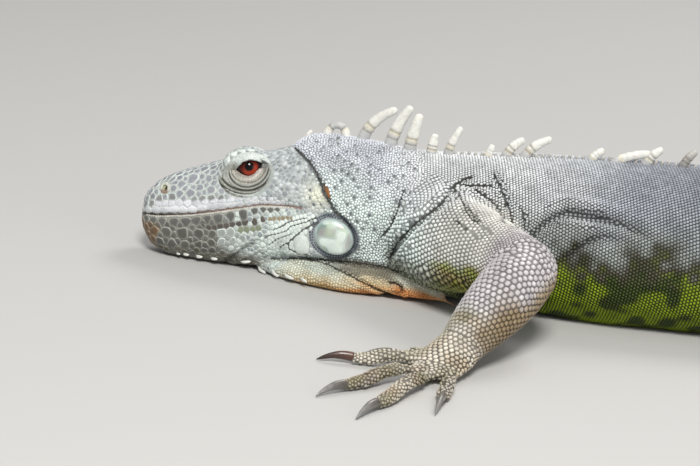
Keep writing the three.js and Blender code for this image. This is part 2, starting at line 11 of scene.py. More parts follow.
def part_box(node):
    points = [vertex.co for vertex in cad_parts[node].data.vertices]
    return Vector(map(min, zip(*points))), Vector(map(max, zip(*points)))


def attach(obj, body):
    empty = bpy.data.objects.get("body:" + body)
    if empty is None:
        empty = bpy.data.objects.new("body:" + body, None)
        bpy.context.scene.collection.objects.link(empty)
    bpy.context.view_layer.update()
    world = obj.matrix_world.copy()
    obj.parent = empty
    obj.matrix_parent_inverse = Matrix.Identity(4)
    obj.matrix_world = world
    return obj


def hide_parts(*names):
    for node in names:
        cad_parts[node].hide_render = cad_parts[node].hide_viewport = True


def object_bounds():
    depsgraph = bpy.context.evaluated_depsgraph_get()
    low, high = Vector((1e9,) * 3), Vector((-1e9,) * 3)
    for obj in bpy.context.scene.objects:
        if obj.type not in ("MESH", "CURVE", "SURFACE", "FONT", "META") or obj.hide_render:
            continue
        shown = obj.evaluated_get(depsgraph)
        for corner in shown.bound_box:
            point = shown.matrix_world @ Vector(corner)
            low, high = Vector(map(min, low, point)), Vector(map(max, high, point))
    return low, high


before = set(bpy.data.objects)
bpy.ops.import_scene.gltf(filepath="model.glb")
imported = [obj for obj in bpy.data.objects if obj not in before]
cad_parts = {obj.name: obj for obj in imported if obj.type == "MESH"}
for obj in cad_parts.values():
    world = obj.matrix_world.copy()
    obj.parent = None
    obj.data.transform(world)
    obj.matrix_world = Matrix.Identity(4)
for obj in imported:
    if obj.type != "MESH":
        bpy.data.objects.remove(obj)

cadBox = [list(corner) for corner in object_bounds()]
nodeNames = sorted(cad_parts)
random = np.random.default_rng(7)
print("frame:", len(nodeNames), "nodes")

# The animal is worked out in millimetres: x back from the snout, left side at minus y, floor at z = 0.
body = {
    "length": 1330,
    "headLean": -11,
    "leanFrom": 70,
    "leanTo": 130,
    # distance from the snout: top, height of the widest place, low, half width, squareness above and below
    "sections": [
        (0, 22.6, 18.6, 14.6, 3, 2, 2), (1, 26.4, 19, 11.8, 6, 2.1, 2.1),
        (3.7, 30.6, 20, 6.6, 9, 2.2, 2.2), (7.3, 33.9, 21, 2.7, 11, 2.3, 2.3),
        (12.3, 37.3, 21.5, 0.3, 13, 2.4, 2.4), (18.5, 40.2, 22, -0.8, 14.7, 2.4, 2.4),
        (26, 43.3, 22.5, -1.2, 16.5, 2.4, 2.4), (33, 46, 23.5, -1.6, 18.1, 2.4, 2.4),
        (40, 49, 25, -1.8, 19.7, 2.5, 2.4), (50, 52.2, 27.5, -1.6, 22, 2.6, 2.4),
        (60, 55, 29.3, -0.6, 24.2, 2.5, 2.3), (65.5, 57, 29.8, 0.2, 25.3, 2.3, 2.2),
        (69, 60.6, 30, 0.8, 26, 2, 2.2), (74, 63.6, 30, 1.4, 26.8, 1.9, 2.1),
        (84, 65.2, 30, 2.2, 27.8, 1.8, 2), (98, 65, 30.5, 2.6, 28.6, 1.8, 2),
        (114, 64, 31.5, 1.5, 31.5, 1.85, 2), (130, 63.2, 31.5, -1, 37, 1.9, 2.1),
        (148, 64, 31, -3, 42.5, 1.9, 2.2), (175, 66, 30, -4.8, 48, 1.9, 2.3),
        (215, 68.5, 29, -6, 53, 1.85, 2.3), (260, 69, 28.5, -6, 54.5, 1.85, 2.3),
        (305, 66, 28.5, -5.5, 50, 1.85, 2.2), (345, 60.5, 28, -4.8, 42, 1.9, 2.1),
        (375, 54, 26.5, -3.8, 34, 1.9, 2.1), (402, 48, 24, -2.8, 26.5, 1.9, 2),
        (440, 41, 21, -2.2, 21, 1.8, 2), (500, 34.5, 17.5, -1.6, 17, 1.8, 2),
        (600, 27, 13.5, -1.2, 13, 1.8, 2), (720, 21, 10.5, -0.9, 10, 1.8, 2),
        (860, 15.6, 7.8, -0.7, 7.3, 1.9, 2), (1000, 11.2, 5.6, -0.5, 5.2, 2, 2),
        (1150, 7.2, 3.6, -0.3, 3.4, 2, 2), (1270, 4.2, 2.1, -0.2, 2, 2, 2),
        (1330, 2, 1, -0.1, 0.9, 2, 2),
    ],
    "headings": [
        (0, 0), (95, 0), (150, 4), (300, 6), (400, 1), (560, -14), (760, -27), (960, -18),
        (1140, 12), (1330, 42),
    ],
}
eyeBall = {"at": 47.5, "out": 13.2, "up": 45, "radius": 6.4}
brow = {"at": 46.8, "out": 11.8, "up": 45.4, "size": (12.2, 7.6, 8.6)}
jowl = {"at": 81, "out": 18.2, "up": 20, "size": (19, 11.4, 16.5)}
sides = (-1, 1)  # left, right
sidesNamed = ((-1, "left"), (1, "right"))


# A cubic piece at a share t of its width: from one value to the next, with a slope at either end.
def cubicPiece(t, width, values, slopes, cell):
    return ((2 * t**3 - 3 * t**2 + 1) * values[cell] + (t**3 - 2 * t**2 + t) * width * slopes[cell]
            + (3 * t**2 - 2 * t**3) * values[cell + 1] + (t**3 - t**2) * width * slopes[cell + 1])


# A smooth curve through knots that never overshoots: the slope at a knot is the harmonic mean of the
# slopes on its two sides, or nought where they change sign, with cubic pieces between.
def curveThrough(table, at):
    table = np.asarray(table, float)
    knots = table[:, 0]
    values = table[:, 1:]
    slopes = np.diff(values, axis=0) / np.diff(knots)[:, None]
    before, after = slopes[:-1], slopes[1:]
    together = np.where(before * after > 0, before + after, 1)
    inner = np.where(before * after > 0, 2 * before * after / together, 0)
    tangents = np.vstack([slopes[:1], inner, slopes[-1:]])
    at = np.clip(np.asarray(at, float), knots[0], knots[-1])
    cell = np.clip(np.searchsorted(knots, at, side="right") - 1, 0, len(knots) - 2)
    width = (knots[cell + 1] - knots[cell])[..., None]
    return cubicPiece((at - knots[cell])[..., None] / width, width, values, tangents, cell)


# 0 below the low value and 1 above the high one, by 3 t^2 - 2 t^3 between them.
def smoothStep(value, low, high):
    t = np.clip((value - low) / (high - low), 0, 1)
    return t * t * (3 - 2 * t)


# Vectors over their own length.
def unit(vectors):
    return vectors / np.maximum(np.linalg.norm(vectors, axis=-1, keepdims=True), 1e-9)


# The height of a line of (distance from the snout, height) at any distance; also any table of pairs.
def lineHeight(line, at):
    return np.interp(at, *np.array(line).T)


# The middle line adds up one-millimetre steps, each along the heading halfway through it.
stepTurns = np.radians(curveThrough(body["headings"], np.arange(body["length"]) + 0.5)[:, 0])
middleLine = np.vstack([[0, 0], np.cumsum(np.stack([np.cos(stepTurns), np.sin(stepTurns)], 1), axis=0)])
lineKnots = np.arange(body["length"] + 1)


# The middle line's place and its way at a distance along it.
def spineAt(at):
    place = np.stack([np.interp(at, lineKnots, middleLine[:, k]) for k in (0, 1)], -1)
    turn = np.radians(curveThrough(body["headings"], at)[..., 0])
    return place, np.stack([np.cos(turn), np.sin(turn)], -1)


# The head's lean in radians, which fades out along the neck.
def leanAt(at):
    return np.radians(body["headLean"]) * (1 - smoothStep(at, body["leanFrom"], body["leanTo"]))


# A place on the body from its distance along the back, to the right and up: the last two turn by the
# head's lean, then the sideways one is laid square to the middle line.
def bodyPoint(at, side, height):
    at, side, height = np.broadcast_arrays(*(np.asarray(v, float) for v in (at, side, height)))
    place, along = spineAt(at)
    lean = leanAt(at)
    out = side * np.cos(lean) - height * np.sin(lean)
    up = side * np.sin(lean) + height * np.cos(lean)
    return np.stack([place[..., 0] - along[..., 1] * out, place[..., 1] + along[..., 0] * out, up], -1)


# The way back: start from x, then slide along the middle line until the place lies square beside it.
def bodyPlace(points):
    at = np.interp(points[..., 0], middleLine[:, 0], lineKnots)
    for _ in range(4):
        place, along = spineAt(at)
        at = np.clip(at + ((points[..., :2] - place) * along).sum(-1), 0, body["length"])
    place, along = spineAt(at)
    gap = points[..., :2] - place
    out = gap[..., 1] * along[..., 0] - gap[..., 0] * along[..., 1]
    lean = leanAt(at)
    side = out * np.cos(lean) + points[..., 2] * np.sin(lean)
    height = -out * np.sin(lean) + points[..., 2] * np.cos(lean)
    return at, side, height


eyeCentres = [sum((corner[1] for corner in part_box(f"eye_{name}"))) / 2 for name in ("left", "right")]
centreY = sum(eyeCentres) / 2 - eyeBall["up"] / 1000 * math.sin(math.radians(-body["headLean"]))
rowShift = np.array([cadBox[0][0], centreY, 0.0])


# The animal's millimetres as metres of the shared frame.
def toRow(points):
    return np.asarray(points, float) / 1000 + rowShift


noiseSize = 32
noiseTable = np.random.default_rng(11).random((noiseSize, noiseSize, noiseSize))


# Smooth noise from 0 to 1: random values at the corners of cubes of the given size, blended inside
# each cube by smoothstep weights.
def noiseAt(points, size, shift=0.0):
    place = points / size + shift
    base = np.floor(place).astype(int)
    share = place - base
    share = share * share * (3 - 2 * share)
    total = np.zeros(points.shape[:-1])
    for corner in np.ndindex(2, 2, 2):
        weight = np.prod(np.where(np.array(corner) == 1, share, 1 - share), axis=-1)
        cell = (base + corner) % noiseSize
        total += weight * noiseTable[cell[..., 0], cell[..., 1], cell[..., 2]]
    return total


floorGap = 0.35  # the scales under the belly reach the floor itself


# Angles all round, in even steps.
def fullTurn(count):
    return np.linspace(0, 2 * np.pi, count, endpoint=False)


# Rings of the body: at angle a the side is half * |cos a| ^ (2 / power) and the rise likewise from
# sin a, with one power for the roof and one for the keel, and nothing below the floor.
def bodyRings(at, angles, inset=0.0):
    size = curveThrough(body["sections"], at)[..., None, :]
    top, wide, low, half, roof, keel = np.moveaxis(size, -1, 0)
    across, rise = np.cos(angles), np.sin(angles)
    power = 2 / np.where(rise >= 0, roof, keel)
    side = (half - inset) * np.sign(across) * np.abs(across) ** power
    reach = np.where(rise >= 0, top - inset - wide, wide - low - inset)
    height = wide + reach * np.sign(rise) * np.abs(rise) ** power
    points = bodyPoint(np.broadcast_to(np.asarray(at, float)[..., None], side.shape), side, height)
    points[..., 2] = np.maximum(points[..., 2], floorGap)
    return points


# A smooth path through points, by cubic pieces in the square root of the distance between them
# (centripetal); further columns, such as thickness, follow the same pieces.
def pathThrough(rows, share):
    rows = np.asarray(rows, float)
    padded = np.vstack([2 * rows[:1] - rows[1:2], rows, 2 * rows[-1:] - rows[-2:-1]])
    gaps = np.sqrt(np.linalg.norm(np.diff(padded[:, :3], axis=0), axis=1))[:, None]
    steps = np.diff(padded, axis=0) / gaps
    tangents = steps[:-1] - (padded[2:] - padded[:-2]) / (gaps[:-1] + gaps[1:]) + steps[1:]
    place = np.clip(np.asarray(share, float), 0, 1) * (len(rows) - 1)
    cell = np.minimum(place.astype(int), len(rows) - 2)
    return cubicPiece((place - cell)[..., None], gaps[1:-1][cell], rows, tangents, cell)


# A tube round a path: at each share of its length, an ellipse of the path's half width and half
# height, with its width lying level and cut off at the floor.
def tubeRings(rows, share, angles, inset=0.0):
    row = pathThrough(rows, share)
    ahead = pathThrough(rows, np.minimum(share + 0.004, 1))
    behind = pathThrough(rows, np.maximum(share - 0.004, 0))
    tangent = unit(ahead[..., :3] - behind[..., :3])
    across = unit(np.cross([0, 0, 1], tangent))
    upward = unit(np.cross(tangent, across))
    wide = (row[..., 3] - inset)[..., None, None]
    high = (row[..., 4] - inset)[..., None, None]
    angles = np.broadcast_to(angles, row.shape[:-1] + (np.shape(angles)[-1],))[..., None]
    points = (row[..., None, :3] + across[..., None, :] * wide * np.cos(angles)
              + upward[..., None, :] * high * np.sin(angles))
    points[..., 2] = np.maximum(points[..., 2], floorGap)
    return points, tangent


# Shares of a path that lie evenly along its length.
def evenShares(rows, count):
    share = np.linspace(0, 1, 400)
    line = pathThrough(rows, share)[:, :3]
    length = np.concatenate([[0], np.cumsum(np.linalg.norm(np.diff(line, axis=0), axis=1))])
    return np.interp(np.linspace(0, length[-1], count), length, share)


# Faces of a grid of rows and columns, closed round the columns, with a fan over each open end.
def tubeFaces(rows, columns):
    i, j = np.meshgrid(np.arange(rows - 1), np.arange(columns), indexing="ij")
    a = i * columns + j
    b = i * columns + (j + 1) % columns
    quads = np.stack([a, b, b + columns, a + columns], -1).reshape(-1, 4)
    ring = np.arange(columns)
    turned = (ring + 1) % columns
    last = (rows - 1) * columns
    start = np.stack([np.full(columns, rows * columns), turned, ring], 1)
    end = np.stack([np.full(columns, rows * columns + 1), last + ring, last + turned], 1)
    return [quads, np.vstack([start, end])]


# A closed shell of rings, with a point in the middle of either end.
def tubeShell(rings):
    rows, columns = rings.shape[:2]
    points = np.vstack([rings.reshape(-1, 3), rings[0].mean(0), rings[-1].mean(0)])
    return points, tubeFaces(rows, columns)


# Shells joined into one list of vertices and faces of each size.
def joinShells(shells):
    offset = 0
    points, faces = [], {}
    for vertices, faceSets in shells:
        points.append(vertices)
        for part in faceSets:
            faces.setdefault(part.shape[1], []).append(part + offset)
        offset += len(vertices)
    return np.vstack(points), [np.vstack(parts) for _, parts in sorted(faces.items())]


# A smooth-shaded object from arrays of vertices and faces. Its vertices are the animal's millimetres,
# turned into the row's metres, unless rowFrame is off.
def makeObject(name, vertices, faceSets, rowFrame=True):
    mesh = bpy.data.meshes.new(name)
    places = toRow(vertices) if rowFrame else np.asarray(vertices, float)
    counts = np.concatenate([np.full(len(part), part.shape[1]) for part in faceSets])
    corners = np.concatenate([part.ravel() for part in faceSets])
    mesh.vertices.add(len(places))
    mesh.vertices.foreach_set("co", places.astype(np.float32).ravel())
    mesh.loops.add(len(corners))
    mesh.loops.foreach_set("vertex_index", corners.astype(np.int32))
    mesh.polygons.add(len(counts))
    mesh.polygons.foreach_set("loop_start", np.concatenate([[0], np.cumsum(counts)[:-1]]).astype(np.int32))
    mesh.polygons.foreach_set("use_smooth", np.full(len(counts), True))
    mesh.update(calc_edges=True)
    piece = bpy.data.objects.new(name, mesh)
    bpy.context.scene.collection.objects.link(piece)
    return piece


# Vertices of a mesh, and its faces in one array for each number of corners.
def readMesh(mesh):
    vertices = np.empty(len(mesh.vertices) * 3, np.float32)
    mesh.vertices.foreach_get("co", vertices)
    corners = np.empty(len(mesh.loops), np.int32)
    mesh.loops.foreach_get("vertex_index", corners)
    totals = np.empty(len(mesh.polygons), np.int32)
    mesh.polygons.foreach_get("loop_total", totals)
    starts = np.concatenate([[0], np.cumsum(totals)[:-1]])
    faceSets = []
    for size in np.unique(totals):
        first = starts[totals == size]
        faceSets.append(corners[first[:, None] + np.arange(size)])
    return vertices.reshape(-1, 3).astype(float), faceSets


# Vertex normals: the cross products of each corner's two edges, added up at the vertices.
def vertexNormals(vertices, faceSets):
    total = np.zeros_like(vertices)
    for part in faceSets:
        corner = vertices[part]
        cross = np.cross(np.roll(corner, -1, 1) - corner, np.roll(corner, 1, 1) - corner)
        for k in range(3):
            total[:, k] += np.bincount(part.ravel(), cross[..., k].ravel(), len(vertices))
    return unit(total)


# Each vertex moves part of the way to the mean of its neighbours; a second, outward move with the
# other sign keeps the volume.
def smoothVertices(vertices, faceSets, rounds, pull=0.5, push=-0.53, weight=None):
    edges = np.vstack([np.stack([part.ravel(), np.roll(part, -1, 1).ravel()], 1) for part in faceSets])
    edges = np.vstack([edges, edges[:, ::-1]])
    counts = np.maximum(np.bincount(edges[:, 0], minlength=len(vertices)), 1)[:, None]
    weight = 1.0 if weight is None else weight[:, None]
    for _ in range(rounds):
        for strength in (pull, push) if push else (pull,):
            mean = np.stack([np.bincount(edges[:, 0], vertices[edges[:, 1], k], len(vertices))
                             for k in range(3)], 1) / counts
            vertices = vertices + weight * strength * (mean - vertices)
    return vertices


foreLeg = {
    "socketAt": 136,
    "line": [
        (126, 18, 36, 18, 20), (138, 31, 32, 21, 22.5), (157, 54, 33, 18, 18.5),
        (174.5, 75, 33, 14.2, 14.8), (165, 93, 26, 14.2, 14.4), (156, 106, 18, 12.6, 11.8),
        (148, 117, 10, 10, 8.4),
    ],
    "palm": [(148, 117, 10, 9.8, 8.2), (142.5, 125.5, 6.2, 12, 6.6), (138, 133, 3.9, 12.5, 4.2)],
    "digits": [
        (139, 118.5, -10, 17, 3.1), (135.5, 123.5, 5, 32, 3.4), (134, 130.5, 44, 45, 3.4),
        (138.5, 136, 61, 49, 3.5), (146, 133.5, 80, 29, 3.5),
    ],
    "reach": {-1: 0, 1: 9},
}
hindLeg = {
    "socketAt": 350,
    "line": [
        (362, 14, 30, 19, 21), (350, 30, 31, 21, 20), (333, 60, 31, 18, 17.5),
        (314, 87, 26, 14, 14), (334, 95, 22, 13.2, 13), (356, 101, 15, 11, 10.4),
        (374, 106, 10, 8.6, 7.6),
    ],
    "palm": [(374, 106, 10, 8.6, 7.6), (368, 116, 6, 10.8, 6.4), (358, 126, 3.7, 12.5, 4.1)],
    "digits": [
        (353, 118.5, 2, 20, 3), (350.5, 123, 17, 32, 3.2), (350.5, 128.5, 34, 48, 3.3),
        (355, 132.5, 50, 62, 3.4), (366, 128, 84, 37, 3.3),
    ],
    "reach": {-1: 0, 1: -6},
}
claws = {"length": 14, "droop": 0.5, "base": 2.3, "knuckleRise": 2.6, "rows": 26, "columns": 22}
throatFolds = [
    [(58, -9, 3, 4, 2.6), (72, -17, 4, 6.5, 4), (90, -23, 4.2, 7.5, 4.4), (108, -26.5, 4, 6.5, 4),
     (122, -27, 3, 3, 2.4)],
    [(80, -18, 8, 4.5, 3.2), (96, -23, 8.4, 6, 4.2), (112, -25.8, 7.8, 6.5, 5),
     (128, -28.8, 5.4, 5.5, 4.4), (141, -31.6, 3.2, 3.2, 2.6), (151, -34.4, 1.5, 1.2, 1.0)],
]


# A limb's rows on one side: mirrored, and moved forward the further out they are.
def placeRows(leg, side, rows):
    rows = np.array(rows, float)
    centre = spineAt(np.array(leg["socketAt"], float))[0][1]
    outermost = leg["line"][-1][1]
    rows[:, 0] -= leg["reach"][side] * np.minimum(rows[:, 1] / outermost, 1.2)
    rows[:, 1] = centre + side * rows[:, 1]
    return rows


# A digit's rows: from behind its root along its aim, arched off the floor in the middle.
def digitRows(leg, side, digit):
    x, y, aim, length, thick = digit
    turn = math.radians(aim)
    way = np.array([-math.cos(turn), math.sin(turn)])
    tall = thick * 0.85
    shares = np.array([-5 / length, 0, 0.45, 0.8, 1])
    heights = np.array([tall + 0.5, tall + 0.3, tall + claws["knuckleRise"], tall * 0.95, tall * 0.88])
    sizes = thick * np.array([[1, 0.95], [1.02, 0.98], [0.9, 0.92], [0.92, 0.9], [0.66, 0.76]])
    flat = np.array([x, y]) + way * (length * shares)[:, None]
    return placeRows(leg, side, np.column_stack([flat, heights, sizes]))


# The rows of a leg's parts on one side. The upper and the lower part share a row at the joint.
def limbTubes(leg, side):
    line = placeRows(leg, side, leg["line"])
    palm = placeRows(leg, side, leg["palm"])
    digits = [digitRows(leg, side, digit) for digit in leg["digits"]]
    return {"upper": line[:4], "lower": line[3:], "palm": palm, "digits": digits, "whole": line}


# An ellipsoid on the head: a ball stretched by three radii, leaning with the head.
def headLump(lump, side, inset, rows=20, columns=28):
    polarTurn = np.linspace(0, np.pi, rows)[:, None]
    turn = fullTurn(columns)
    radii = np.array(lump["size"]) - inset
    x = radii[0] * np.cos(polarTurn) * np.ones(columns)
    y = radii[1] * np.sin(polarTurn) * np.cos(turn)
    z = radii[2] * np.sin(polarTurn) * np.sin(turn)
    return bodyPoint(lump["at"] + x, side * lump["out"] + y, lump["up"] + z)


skin = {
    "bodyColumns": 72,
    "limbGrid": (40, 32),  # rings and columns
    "foldGrid": (60, 24),
    "inset": 0.55,  # the scales' depth
    "digitInset": 0.7,  # the share of it on the thin digits, and on the folds
    "foldInset": 0.5,
    "voxel": 2.05,
    "voxelUntil": 1150,  # the thin end of the tail is a plain tube
    "fineUntil": 156,  # the front of the body, as far out as the shoulders, gets four times as many faces
    "fineWithin": 58,
    "smooth": 5,
    "shoulderSmooth": 22,
}


# A closed tube round a path, of so many rings and columns.
def limbShell(rows, grid, inset):
    return tubeShell(tubeRings(rows, np.linspace(0, 1, grid[0]), fullTurn(grid[1]), inset)[0])


# The skin: ellipsoids, rings and tubes melted into one surface by small cubes, smoothed all over and then
# again round the shoulders, hips and elbows.
def buildSkin():
    inset = skin["inset"]
    angles = fullTurn(skin["bodyColumns"])
    at = np.concatenate([[0.6, 1.2, 2, 3, 4.5, 6], np.arange(8, 110, 2), np.arange(110, 700, 3.5),
                         np.arange(700, skin["voxelUntil"], 8)])
    shells = [tubeShell(bodyRings(at, angles, inset))]
    for side in sides:
        shells += [tubeShell(headLump(lump, side, inset)) for lump in (brow, jowl)]
        for leg in (foreLeg, hindLeg):
            tubes = limbTubes(leg, side)
            shells += [limbShell(tubes[part], skin["limbGrid"], inset) for part in ("upper", "lower", "palm")]
            shells += [limbShell(rows, skin["limbGrid"], inset * skin["digitInset"])
                       for rows in tubes["digits"]]
            shells += [jointBall(row, inset) for row in (tubes["whole"][3], tubes["whole"][6])]
    shells += [limbShell(rows, skin["foldGrid"], inset * skin["foldInset"]) for rows in throatFolds]
    vertices, faceSets = joinShells(shells)
    rough = makeObject("skinRough", vertices, faceSets, rowFrame=False)
    remesh = rough.modifiers.new("union", "REMESH")
    remesh.mode = "VOXEL"
    remesh.voxel_size = skin["voxel"]
    evaluated = rough.evaluated_get(bpy.context.evaluated_depsgraph_get())
    vertices, faceSets = readMesh(evaluated.to_mesh())
    evaluated.to_mesh_clear()
    bpy.data.objects.remove(rough)
    print("skin: joined into", len(vertices), "vertices")
    vertices = smoothVertices(vertices, faceSets, skin["smooth"])
    near = np.zeros(len(vertices))
    for leg in (foreLeg, hindLeg):
        for side in sides:
            tubes = limbTubes(leg, side)
            # the root, the middle and the joint of the leg and the end of the palm, with their reach
            for row, reach in ((tubes["whole"][1], 42), (tubes["whole"][2], 27), (tubes["whole"][3], 16),
                               (tubes["palm"][2], 14)):
                near = np.maximum(near, 1 - smoothStep(np.linalg.norm(vertices - row[:3], axis=1),
                                                       reach * 0.7, reach * 1.3))
    vertices = smoothVertices(vertices, faceSets, skin["shoulderSmooth"], push=0, weight=near)
    at = np.concatenate([np.arange(1110, 1324, 6), [1326, 1328.4, 1329.6]])
    tail = bodyRings(at, angles[::3])
    middle = tail.mean(1, keepdims=True)
    thin = np.interp(at, [1110, 1130, 1150, 1329], [0.74, 0.8, 0.86, 0.8])[:, None, None]
    return joinShells([refineHead(vertices, faceSets), tubeShell(middle + (tail - middle) * thin)])


# An upright ball round a row of a limb, which fills the bend between two tubes.
def jointBall(row, inset, rows=16, columns=24):
    polarTurn = np.linspace(0, np.pi, rows)[:, None]
    turn = fullTurn(columns)
    wide, high = row[3] - inset, row[4] - inset
    rings = np.stack([row[0] + wide * np.sin(polarTurn) * np.cos(turn),
                      row[1] + wide * np.sin(polarTurn) * np.sin(turn),
                      row[2] - high * np.cos(polarTurn) * np.ones(columns)], -1)
    rings[..., 2] = np.maximum(rings[..., 2], floorGap)
    return tubeShell(rings)


# The faces of the head, neck and shoulders are split in four, so that folds and lips have enough points
# to follow.
def refineHead(vertices, faceSets):
    coarse = makeObject("skinCoarse", vertices, faceSets, rowFrame=False)
    work = bmesh.new()
    work.from_mesh(coarse.data)
    fine = [edge for edge in work.edges if max(v.co.x for v in edge.verts) < skin["fineUntil"]
            and max(abs(v.co.y) for v in edge.verts) < skin["fineWithin"]]
    bmesh.ops.subdivide_edges(work, edges=fine, cuts=1, use_grid_fill=True, smooth=0.5)
    mesh = bpy.data.meshes.new("skinFine")
    bmesh.ops.triangulate(work, faces=[face for face in work.faces if len(face.verts) > 4])
    work.to_mesh(mesh)
    work.free()
    bpy.data.objects.remove(coarse)
    return readMesh(mesh)


skinPoints, skinFaces = buildSkin()
print("skin: refined to", len(skinPoints), "vertices,",
      sum(len(part) * (part.shape[1] - 2) for part in skinFaces), "triangles")


# Distance from points of a plane to a bent line, and how far along the line the nearest place is (0 to 1).
def lineDistance(points, line):
    line = np.asarray(line, float)
    lengths = np.linalg.norm(np.diff(line, axis=0), axis=1)
    begun = np.concatenate([[0], np.cumsum(lengths)])
    best = np.full(len(points), 1e9)
    along = np.zeros(len(points))
    for k in range(len(line) - 1):
        way = line[k + 1] - line[k]
        share = np.clip((points - line[k]) @ way / (way @ way), 0, 1)
        gap = np.linalg.norm(points - line[k] - share[:, None] * way, axis=1)
        nearer = gap < best
        best = np.where(nearer, gap, best)
        along = np.where(nearer, (begun[k] + share * lengths[k]) / begun[-1], along)
    return best, along


# Creases of the hide: a line of (distance from the snout, height) on both sides, how deep and wide it
# is, how high its lips stand, and the depth's share at the line's start, middle and end.
creases = {
    "jawFold": {
        "line": [(40, -0.5), (44, 2.4), (47.6, 5.6), (51.4, 9.2), (55.4, 11.6), (60, 13.4)],
        "depth": 1.3, "width": 1.3, "lips": 0.35, "fade": (0.6, 1, 0.2),
    },
    "behindHead": {
        "line": [(67.3, 56.2), (74.4, 51.3), (79.8, 45.4), (83.9, 37.7), (88.3, 33.1), (96, 27), (99, 18)],
        "depth": 2.0, "width": 1.2, "lips": 0.3, "fade": (0.7, 1, 0.7),
    },
    "armFold": {
        "line": [(115.7, 13), (116, 18), (117.8, 26.8), (120.8, 33.8), (123.9, 39.6), (129.4, 46.1),
                 (136.2, 52.1), (141.5, 55.8), (147.7, 58.5)],
        "depth": 3.6, "width": 1.3, "lips": 0.3, "fade": (0.9, 1, 0.35),
    },
    "neckFold": {
        "line": [(108.5, 20), (110.7, 26.4), (113.9, 32.1), (116.1, 40.3), (118.1, 49.6), (121.4, 53.7)],
        "depth": 1.0, "width": 0.9, "lips": 0.6, "fade": (0.7, 1, 0.1),
    },
    "throatTop": {
        "line": [(58, 2.2), (62.6, 4.4), (77.6, 7.7), (90.7, 9.2), (101.3, 10.8), (112.6, 12.4), (120, 12.4)],
        "depth": 2.4, "width": 1.4, "lips": 0.3, "fade": (0.2, 1, 0.7),
    },
    "throatSplit": {
        "line": [(79, 7.6), (90.7, 7.0), (101.3, 5.2), (110, 3.2), (118.8, 1.2), (124, 0.2)],
        "depth": 1.5, "width": 0.9, "lips": 0.4, "fade": (0.4, 1, 0.7),
    },
    "throatCurl": {
        "line": [(116.6, 7.2), (119.6, 7.6), (122, 6.6), (122.8, 4.8), (121.6, 3.0)],
        "depth": 2.2, "width": 1.0, "lips": 0.5, "fade": (0.4, 1, 0.4),
    },
    "flank": {
        "line": [(171.5, 36.5), (174.4, 41.1), (177.7, 44.9), (183.5, 49.4), (188.9, 51.4), (195.8, 51.0),
                 (205.7, 50.7), (214.4, 49.5), (228, 45)],
        "depth": 3.2, "width": 2.0, "lips": 0.45, "fade": (0.6, 1, 0.1),
    },
    "flankLower": {
        "line": [(186, 30), (193, 38), (203, 44), (216, 45)],
        "depth": 1.6, "width": 2.0, "lips": 0.6, "fade": (0.3, 1, 0.1),
    },
    "hip": {
        "line": [(328, 20), (325, 32), (328, 43), (337, 51), (350, 56)],
        "depth": 2.6, "width": 1.9, "lips": 0.4, "fade": (0.8, 1, 0.2),
    },
    "waist": {
        "line": [(296, 14), (300, 30), (308, 44), (318, 52)],
        "depth": 1.3, "width": 1.8, "lips": 0.6, "fade": (0.4, 1, 0.1),
    },
}
# the fine folds above the foreleg, with the depth of each
armFolds = [
    ([(138.8, 46.6), (144.0, 45.0), (150.6, 42.5)], 0.6),
    ([(139.2, 53.5), (143.3, 51.1), (148.7, 48.2), (154.0, 45.2), (159.3, 42.7)], 1.2),
    ([(142.1, 50.4), (147.4, 48.0), (152.6, 46.1), (155.4, 44.4)], 0.8),
    ([(147.9, 54.7), (153.2, 52.5), (157.2, 50.5), (160.0, 47.2), (162.4, 42.7)], 1.3),
    ([(157.0, 60.5), (159.0, 57.6), (160.8, 54.5), (162.8, 50.8), (164.4, 46.8), (165.5, 42.6)], 1.5),
    ([(168.6, 50.5), (169.9, 46.4), (170.2, 42.7)], 1.0),
    ([(142.9, 55.0), (147.9, 55.6), (155.4, 56.4)], 0.6),
]
for number, (line, deep) in enumerate(armFolds):
    creases[f"armFine{number}"] = {"line": line, "depth": 1.25 * deep, "width": 0.8, "lips": 0.55,
                                   "fade": (0.6, 1, 0.8)}
creaseReach = 62  # beyond this distance from the middle plane the hide belongs to the legs and has none


# The move that one crease asks for: a trough of exp(-(gap / width) ^ 2) between two raised lips, fading
# along the line and toward its ends.
def creaseDepth(plane, crease):
    gap, along = lineDistance(plane, crease["line"])
    fade = np.interp(along, [0, 0.5, 1], crease["fade"])
    beyond = np.clip(np.minimum(along, 1 - along) / 0.08, 0, 1)
    ends = 0.25 + 0.75 * beyond
    trough = np.exp(-(gap / crease["width"]) ** 2)
    lips = crease["lips"] * np.exp(-((gap - 2.1 * crease["width"]) / (0.9 * crease["width"])) ** 2)
    return crease["depth"] * fade * ends * (lips - trough)


# The skin moved along its normals by every crease and by soft swellings of the trunk.
def foldSkin(vertices, faceSets):
    at, side, height = bodyPlace(vertices)
    plane = np.stack([at, height], 1)
    normals = vertexNormals(vertices, faceSets)
    onTrunk = limbShare(vertices)["trunk"]
    move = np.zeros(len(vertices))
    for crease in creases.values():
        move += creaseDepth(plane, crease)
    move *= (0.15 + 0.85 * onTrunk) * (np.abs(side) < creaseReach)
    soft = noiseAt(vertices, 26) + 0.5 * noiseAt(vertices, 11, 3.1) - 0.75
    move += 1.1 * soft * smoothStep(at, 90, 150) * (1 - smoothStep(at, 400, 500)) * onTrunk
    vertices = vertices + normals * move[:, None]
    vertices[:, 2] = np.maximum(vertices[:, 2], floorGap)
    return vertices


